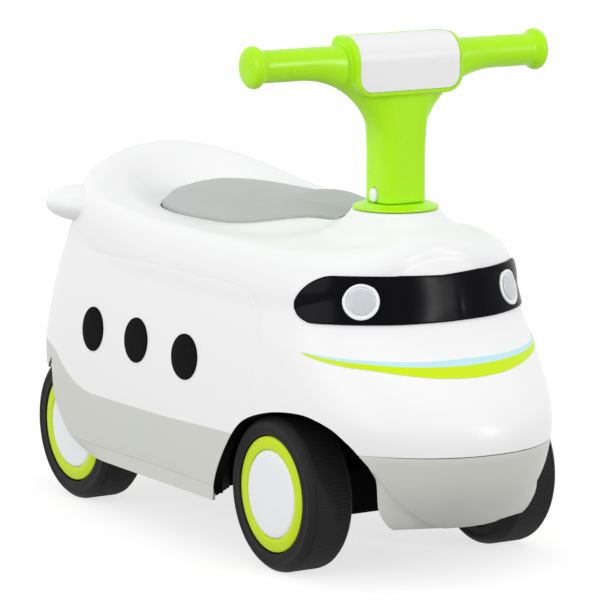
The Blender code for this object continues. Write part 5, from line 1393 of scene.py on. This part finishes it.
def socket_group(name, inputs, outputs):
    tree = bpy.data.node_groups.new(name, "ShaderNodeTree")
    for label, kind, value in inputs:
        socket = tree.interface.new_socket(label, in_out="INPUT", socket_type=kind)
        socket.default_value = value
    for label, kind in outputs:
        tree.interface.new_socket(label, in_out="OUTPUT", socket_type=kind)
    return tree, tree.nodes.new("NodeGroupInput"), tree.nodes.new("NodeGroupOutput")


def noise(tree, scale, detail, source):
    node = tree.nodes.new("ShaderNodeTexNoise")
    node.inputs["Detail"].default_value = detail
    node.inputs["Roughness"].default_value = 0.55
    if isinstance(scale, float):
        node.inputs["Scale"].default_value = scale
    else:
        tree.links.new(scale, node.inputs["Scale"])
    tree.links.new(source, node.inputs["Vector"])
    return node.outputs["Fac"]


def arithmetic(tree, kind, first, second):
    node = tree.nodes.new("ShaderNodeMath")
    node.operation = kind
    for socket, value in zip(node.inputs, (first, second)):
        if isinstance(value, float):
            socket.default_value = value
        else:
            tree.links.new(value, socket)
    return node.outputs[0]


def moulded_group():
    """Moulded plastic: faint cloudy shade, uneven polish and a fine grain."""
    tree, enter, leave = socket_group(
        "moulded_plastic",
        (("Colour", "NodeSocketColor", (0.8, 0.8, 0.8, 1)), ("Shade", "NodeSocketFloat", 0.02),
         ("Polish", "NodeSocketFloat", 0.3), ("Unevenness", "NodeSocketFloat", 0.05),
         ("Grain Size", "NodeSocketFloat", 900.0)),
        (("Colour", "NodeSocketColor"), ("Roughness", "NodeSocketFloat"), ("Height", "NodeSocketFloat")))
    place = tree.nodes.new("ShaderNodeTexCoord").outputs["Object"]
    cloud = arithmetic(tree, "SUBTRACT", noise(tree, 11.0, 2.0, place), 0.5)
    tint = arithmetic(tree, "ADD", arithmetic(tree, "MULTIPLY", cloud, enter.outputs["Shade"]), 1.0)
    scale = tree.nodes.new("ShaderNodeVectorMath")
    scale.operation = "SCALE"
    tree.links.new(enter.outputs["Colour"], scale.inputs[0])
    tree.links.new(tint, scale.inputs["Scale"])
    tree.links.new(scale.outputs[0], leave.inputs["Colour"])
    patch = arithmetic(tree, "SUBTRACT", noise(tree, 60.0, 3.0, place), 0.5)
    rough = arithmetic(tree, "ADD", arithmetic(tree, "MULTIPLY", patch, enter.outputs["Unevenness"]),
                       enter.outputs["Polish"])
    tree.links.new(rough, leave.inputs["Roughness"])
    tree.links.new(noise(tree, enter.outputs["Grain Size"], 2.0, place), leave.inputs["Height"])
    return tree


MOULDED = moulded_group()


def finish(name, colour, polish, shade_amount=0.02, unevenness=0.06, grain=900.0, bump=0.04, depth=0.0002,
           metallic=0.0, coat=0.0, coat_polish=0.08, level=0.5, ior=1.46):
    made = bpy.data.materials.new(name)
    made.use_nodes = True
    tree = made.node_tree
    shader = tree.nodes["Principled BSDF"]
    skin_node = tree.nodes.new("ShaderNodeGroup")
    skin_node.node_tree = MOULDED
    for label, value in (("Colour", (*colour, 1.0)), ("Shade", shade_amount), ("Polish", polish),
                         ("Unevenness", unevenness), ("Grain Size", grain)):
        skin_node.inputs[label].default_value = value
    tree.links.new(skin_node.outputs["Colour"], shader.inputs["Base Color"])
    tree.links.new(skin_node.outputs["Roughness"], shader.inputs["Roughness"])
    relief = tree.nodes.new("ShaderNodeBump")
    relief.inputs["Strength"].default_value = bump
    relief.inputs["Distance"].default_value = depth
    tree.links.new(skin_node.outputs["Height"], relief.inputs["Height"])
    tree.links.new(relief.outputs["Normal"], shader.inputs["Normal"])
    shader.inputs["Metallic"].default_value = metallic
    shader.inputs["Coat Weight"].default_value = coat
    shader.inputs["Coat Roughness"].default_value = coat_polish
    shader.inputs["Specular IOR Level"].default_value = level
    shader.inputs["IOR"].default_value = ior
    made.diffuse_color = (*colour, 1.0)
    return made


FINISHES = {
    "white_shell": finish("white_gloss", (0.925, 0.925, 0.935), 0.30, 0.012, 0.05, 700.0, 0.03, 0.0001,
                          level=0.35),
    "warm_grey": finish("warm_grey_satin", (0.675, 0.685, 0.640), 0.42, 0.03, 0.08, 900.0, 0.10, 0.0002,
                        level=0.35),
    "seat_grey": finish("seat_grey_satin", (0.475, 0.492, 0.480), 0.46, 0.04, 0.10, 1100.0, 0.16, 0.0002,
                        level=0.4),
    "lime": finish("lime_gloss", (0.455, 0.905, 0.0015), 0.28, 0.04, 0.06, 700.0, 0.04, 0.0001, level=0.35),
    "wheel_lime": finish("wheel_lime_satin", (0.600, 0.800, 0.004), 0.38, 0.03, 0.08, 900.0, 0.06, 0.0002,
                         level=0.3),
    "tyre": finish("tyre_black", (0.010, 0.010, 0.0105), 0.60, 0.25, 0.12, 1500.0, 0.22, 0.0003, level=0.22),
    "black_plastic": finish("black_satin", (0.003, 0.003, 0.0035), 0.50, 0.20, 0.10, 1100.0, 0.10, 0.0002,
                            level=0.03),
    "visor_black": finish("visor_gloss", (0.0025, 0.0025, 0.004), 0.20, 0.20, 0.05, 90.0, 0.06, 0.0002,
                          level=0.06),
    "pale_grey": finish("panel_pale", (0.885, 0.885, 0.895), 0.36, 0.02, 0.06, 800.0, 0.05, 0.0001,
                        level=0.35),
    "zinc_steel": finish("zinc_plated", (0.62, 0.63, 0.65), 0.30, 0.08, 0.20, 600.0, 0.10, 0.0002,
                         metallic=1.0),
}
CAP_WHITE = finish("wheel_disc_white", (0.90, 0.91, 0.935), 0.34, 0.015, 0.05, 800.0, 0.04, 0.0001,
                   level=0.35)
STRIPE_LIME = finish("stripe_lime", (0.64, 0.86, 0.002), 0.34, 0.02, 0.05, 800.0, 0.03, 0.0001, level=0.25)
STRIPE_BLUE = finish("stripe_blue", (0.55, 0.84, 0.92), 0.34, 0.02, 0.05, 800.0, 0.03, 0.0001, level=0.35)
LENS = finish("lamp_lens", (0.62, 0.64, 0.67), 0.16, 0.03, 0.04, 300.0, 0.05, 0.0001, coat=0.5)


def dress(piece, body, slot, material=None, stands_for=()):
    piece.data.materials.clear()
    piece.data.materials.append(material or FINISHES[slot])
    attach(piece, body)
    if stands_for:
        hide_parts(*stands_for)
    return piece


def dress_car():
    dress(make_shell(), "car_body", "white_shell", stands_for=["body_shell"])
    dress(make_skirt(), "car_body", "warm_grey", stands_for=["chassis"])
    dress(make_deck(), "car_body", "warm_grey")
    dress(make_bumper(), "car_body", "warm_grey", stands_for=["front_bumper"])
    dress(make_lid(), "seat_lid", "seat_grey", stands_for=["seat_lid"])
    dress(make_visor(), "car_body", "visor_black", stands_for=["visor"])
    dress(make_stripe("nose_stripe_lime", STRIPE_LOW, STRIPE_MIDDLE), "car_body", "lime", STRIPE_LIME)
    dress(make_stripe("nose_stripe_blue", STRIPE_MIDDLE, STRIPE_TOP), "car_body", "pale_grey", STRIPE_BLUE)
    for side, name in ((1, "left"), (-1, "right")):
        ring, lens = make_lamp(side)
        dress(ring, "car_body", "white_shell")
        # Black arch lining: painted shade on the skirt's shadowed return
        dress(arch_shade_liner(side), "car_body", "black_plastic")
        # Black arch lip: painted shade over the body wall's cut edge in the arch
        dress(arch_shade_lip(side), "car_body", "black_plastic")
        dress(lens, "car_body", "pale_grey", LENS)
        for i, (y, z, width) in enumerate(SIDE_DISCS):
            node = "window_%s_%d" % (name, i + 1)
            disc = make_window("side_disc_%s_%d" % (name, i + 1), y, z, width, side)
            dress(disc, "car_body", "black_plastic", stands_for=[node])
        button = "lock_button_" + name
        dress(make_button("button_cap_" + name, side), button, "white_shell", stands_for=[button])
        for end, x, y in (("front", FRONT_WHEEL_X, STEER_Y), ("rear", REAR_WHEEL_X, REAR_Y)):
            place = "%s_%s" % (end, name)
            tyre, ring, disc = make_wheel(place, side, x, y)
            body = place + "_wheel"
            dress(tyre, body, "tyre", stands_for=[place + "_tyre"])
            dress(ring, body, "wheel_lime", stands_for=[place + "_rim"])
            dress(disc, body, "white_shell", CAP_WHITE, stands_for=[place + "_hub_cap"])
    bar, cover = make_handlebar()
    dress(bar, "steering", "lime", stands_for=["handlebar_front", "handlebar_rear"])
    dress(cover, "steering", "pale_grey", stands_for=["bar_cover"])
    dress(make_collar(), "steering", "lime", stands_for=["column_collar"])
    for part in frame["record"]["subparts"]:
        node = frame["nodes"][part["node"]]
        node.data.materials.clear()
        node.data.materials.append(FINISHES[part["material_slot"]])


# Studio: how far the floor glows, and how strongly the air lights the object

FLOOR_GLOW = 0.72
AIR_LIGHT = 0.840


def soft_lamp(name, place, aim, size, power):
    data = bpy.data.lights.new(name, "AREA")
    data.shape = "RECTANGLE"
    data.size, data.size_y = size
    data.energy = power
    lamp = bpy.data.objects.new(name, data)
    lamp.location = place
    lamp.rotation_euler = (Vector(aim) - Vector(place)).to_track_quat("-Z", "Y").to_euler()
    bpy.context.scene.collection.objects.link(lamp)
    return lamp


def seen_directly(tree):
    """1 for what the camera, a reflection or a clear part sees, and 0 for light on the object."""
    path = tree.nodes.new("ShaderNodeLightPath")
    seen = arithmetic(tree, "MAXIMUM", path.outputs["Is Camera Ray"], path.outputs["Is Glossy Ray"])
    return arithmetic(tree, "MAXIMUM", seen, path.outputs["Is Transmission Ray"])


def make_floor():
    floor = new_piece("studio_floor", [(-6, -6, 0), (6, -6, 0), (6, 6, 0), (-6, 6, 0)], [(0, 1, 2, 3)])
    made = bpy.data.materials.new("studio_white")
    made.use_nodes = True
    tree = made.node_tree
    shader = tree.nodes["Principled BSDF"]
    shader.inputs["Base Color"].default_value = (0.36, 0.36, 0.362, 1)
    shader.inputs["Roughness"].default_value = 0.9
    shader.inputs["Specular IOR Level"].default_value = 0.1
    glow = tree.nodes.new("ShaderNodeEmission")
    tree.links.new(arithmetic(tree, "MULTIPLY", seen_directly(tree), FLOOR_GLOW), glow.inputs["Strength"])
    both = tree.nodes.new("ShaderNodeAddShader")
    tree.links.new(shader.outputs[0], both.inputs[0])
    tree.links.new(glow.outputs[0], both.inputs[1])
    tree.links.new(both.outputs[0], tree.nodes["Material Output"].inputs["Surface"])
    floor.data.materials.append(made)


def make_world():
    world = bpy.data.worlds.new("studio_air")
    bpy.context.scene.world = world
    world.use_nodes = True
    tree = world.node_tree
    back = tree.nodes["Background"]
    back.inputs["Color"].default_value = (1, 1, 1, 1)
    extra = arithmetic(tree, "MULTIPLY", seen_directly(tree), 1.0 - AIR_LIGHT)
    tree.links.new(arithmetic(tree, "ADD", extra, AIR_LIGHT), back.inputs["Strength"])


def make_camera():
    data = bpy.data.cameras.new("photo_view")
    data.lens = 249.28
    data.sensor_width = 36.0
    data.clip_end = 50.0
    camera = bpy.data.objects.new("photo_view", data)
    place = Vector((-1.79399, -2.91835 + BOX_SHIFT, 0.75866))
    aim = Vector((0.00842, -0.00521 + BOX_SHIFT, 0.18581))
    camera.location = place
    camera.rotation_euler = (aim - place).to_track_quat("-Z", "Y").to_euler()
    bpy.context.scene.collection.objects.link(camera)
    bpy.context.scene.camera = camera


make_camera()
dress_car()
make_floor()
make_world()
soft_lamp("side_softbox", (-2.6, -0.4, 0.9), (0, 0, 0.16), (1.8, 1.2), 21)
soft_lamp("strip_softbox", (1.16, -2.18, 0.90), (0, -0.2, 0.22), (0.15, 0.80), 12.5)
bpy.context.scene.view_settings.view_transform = "Standard"
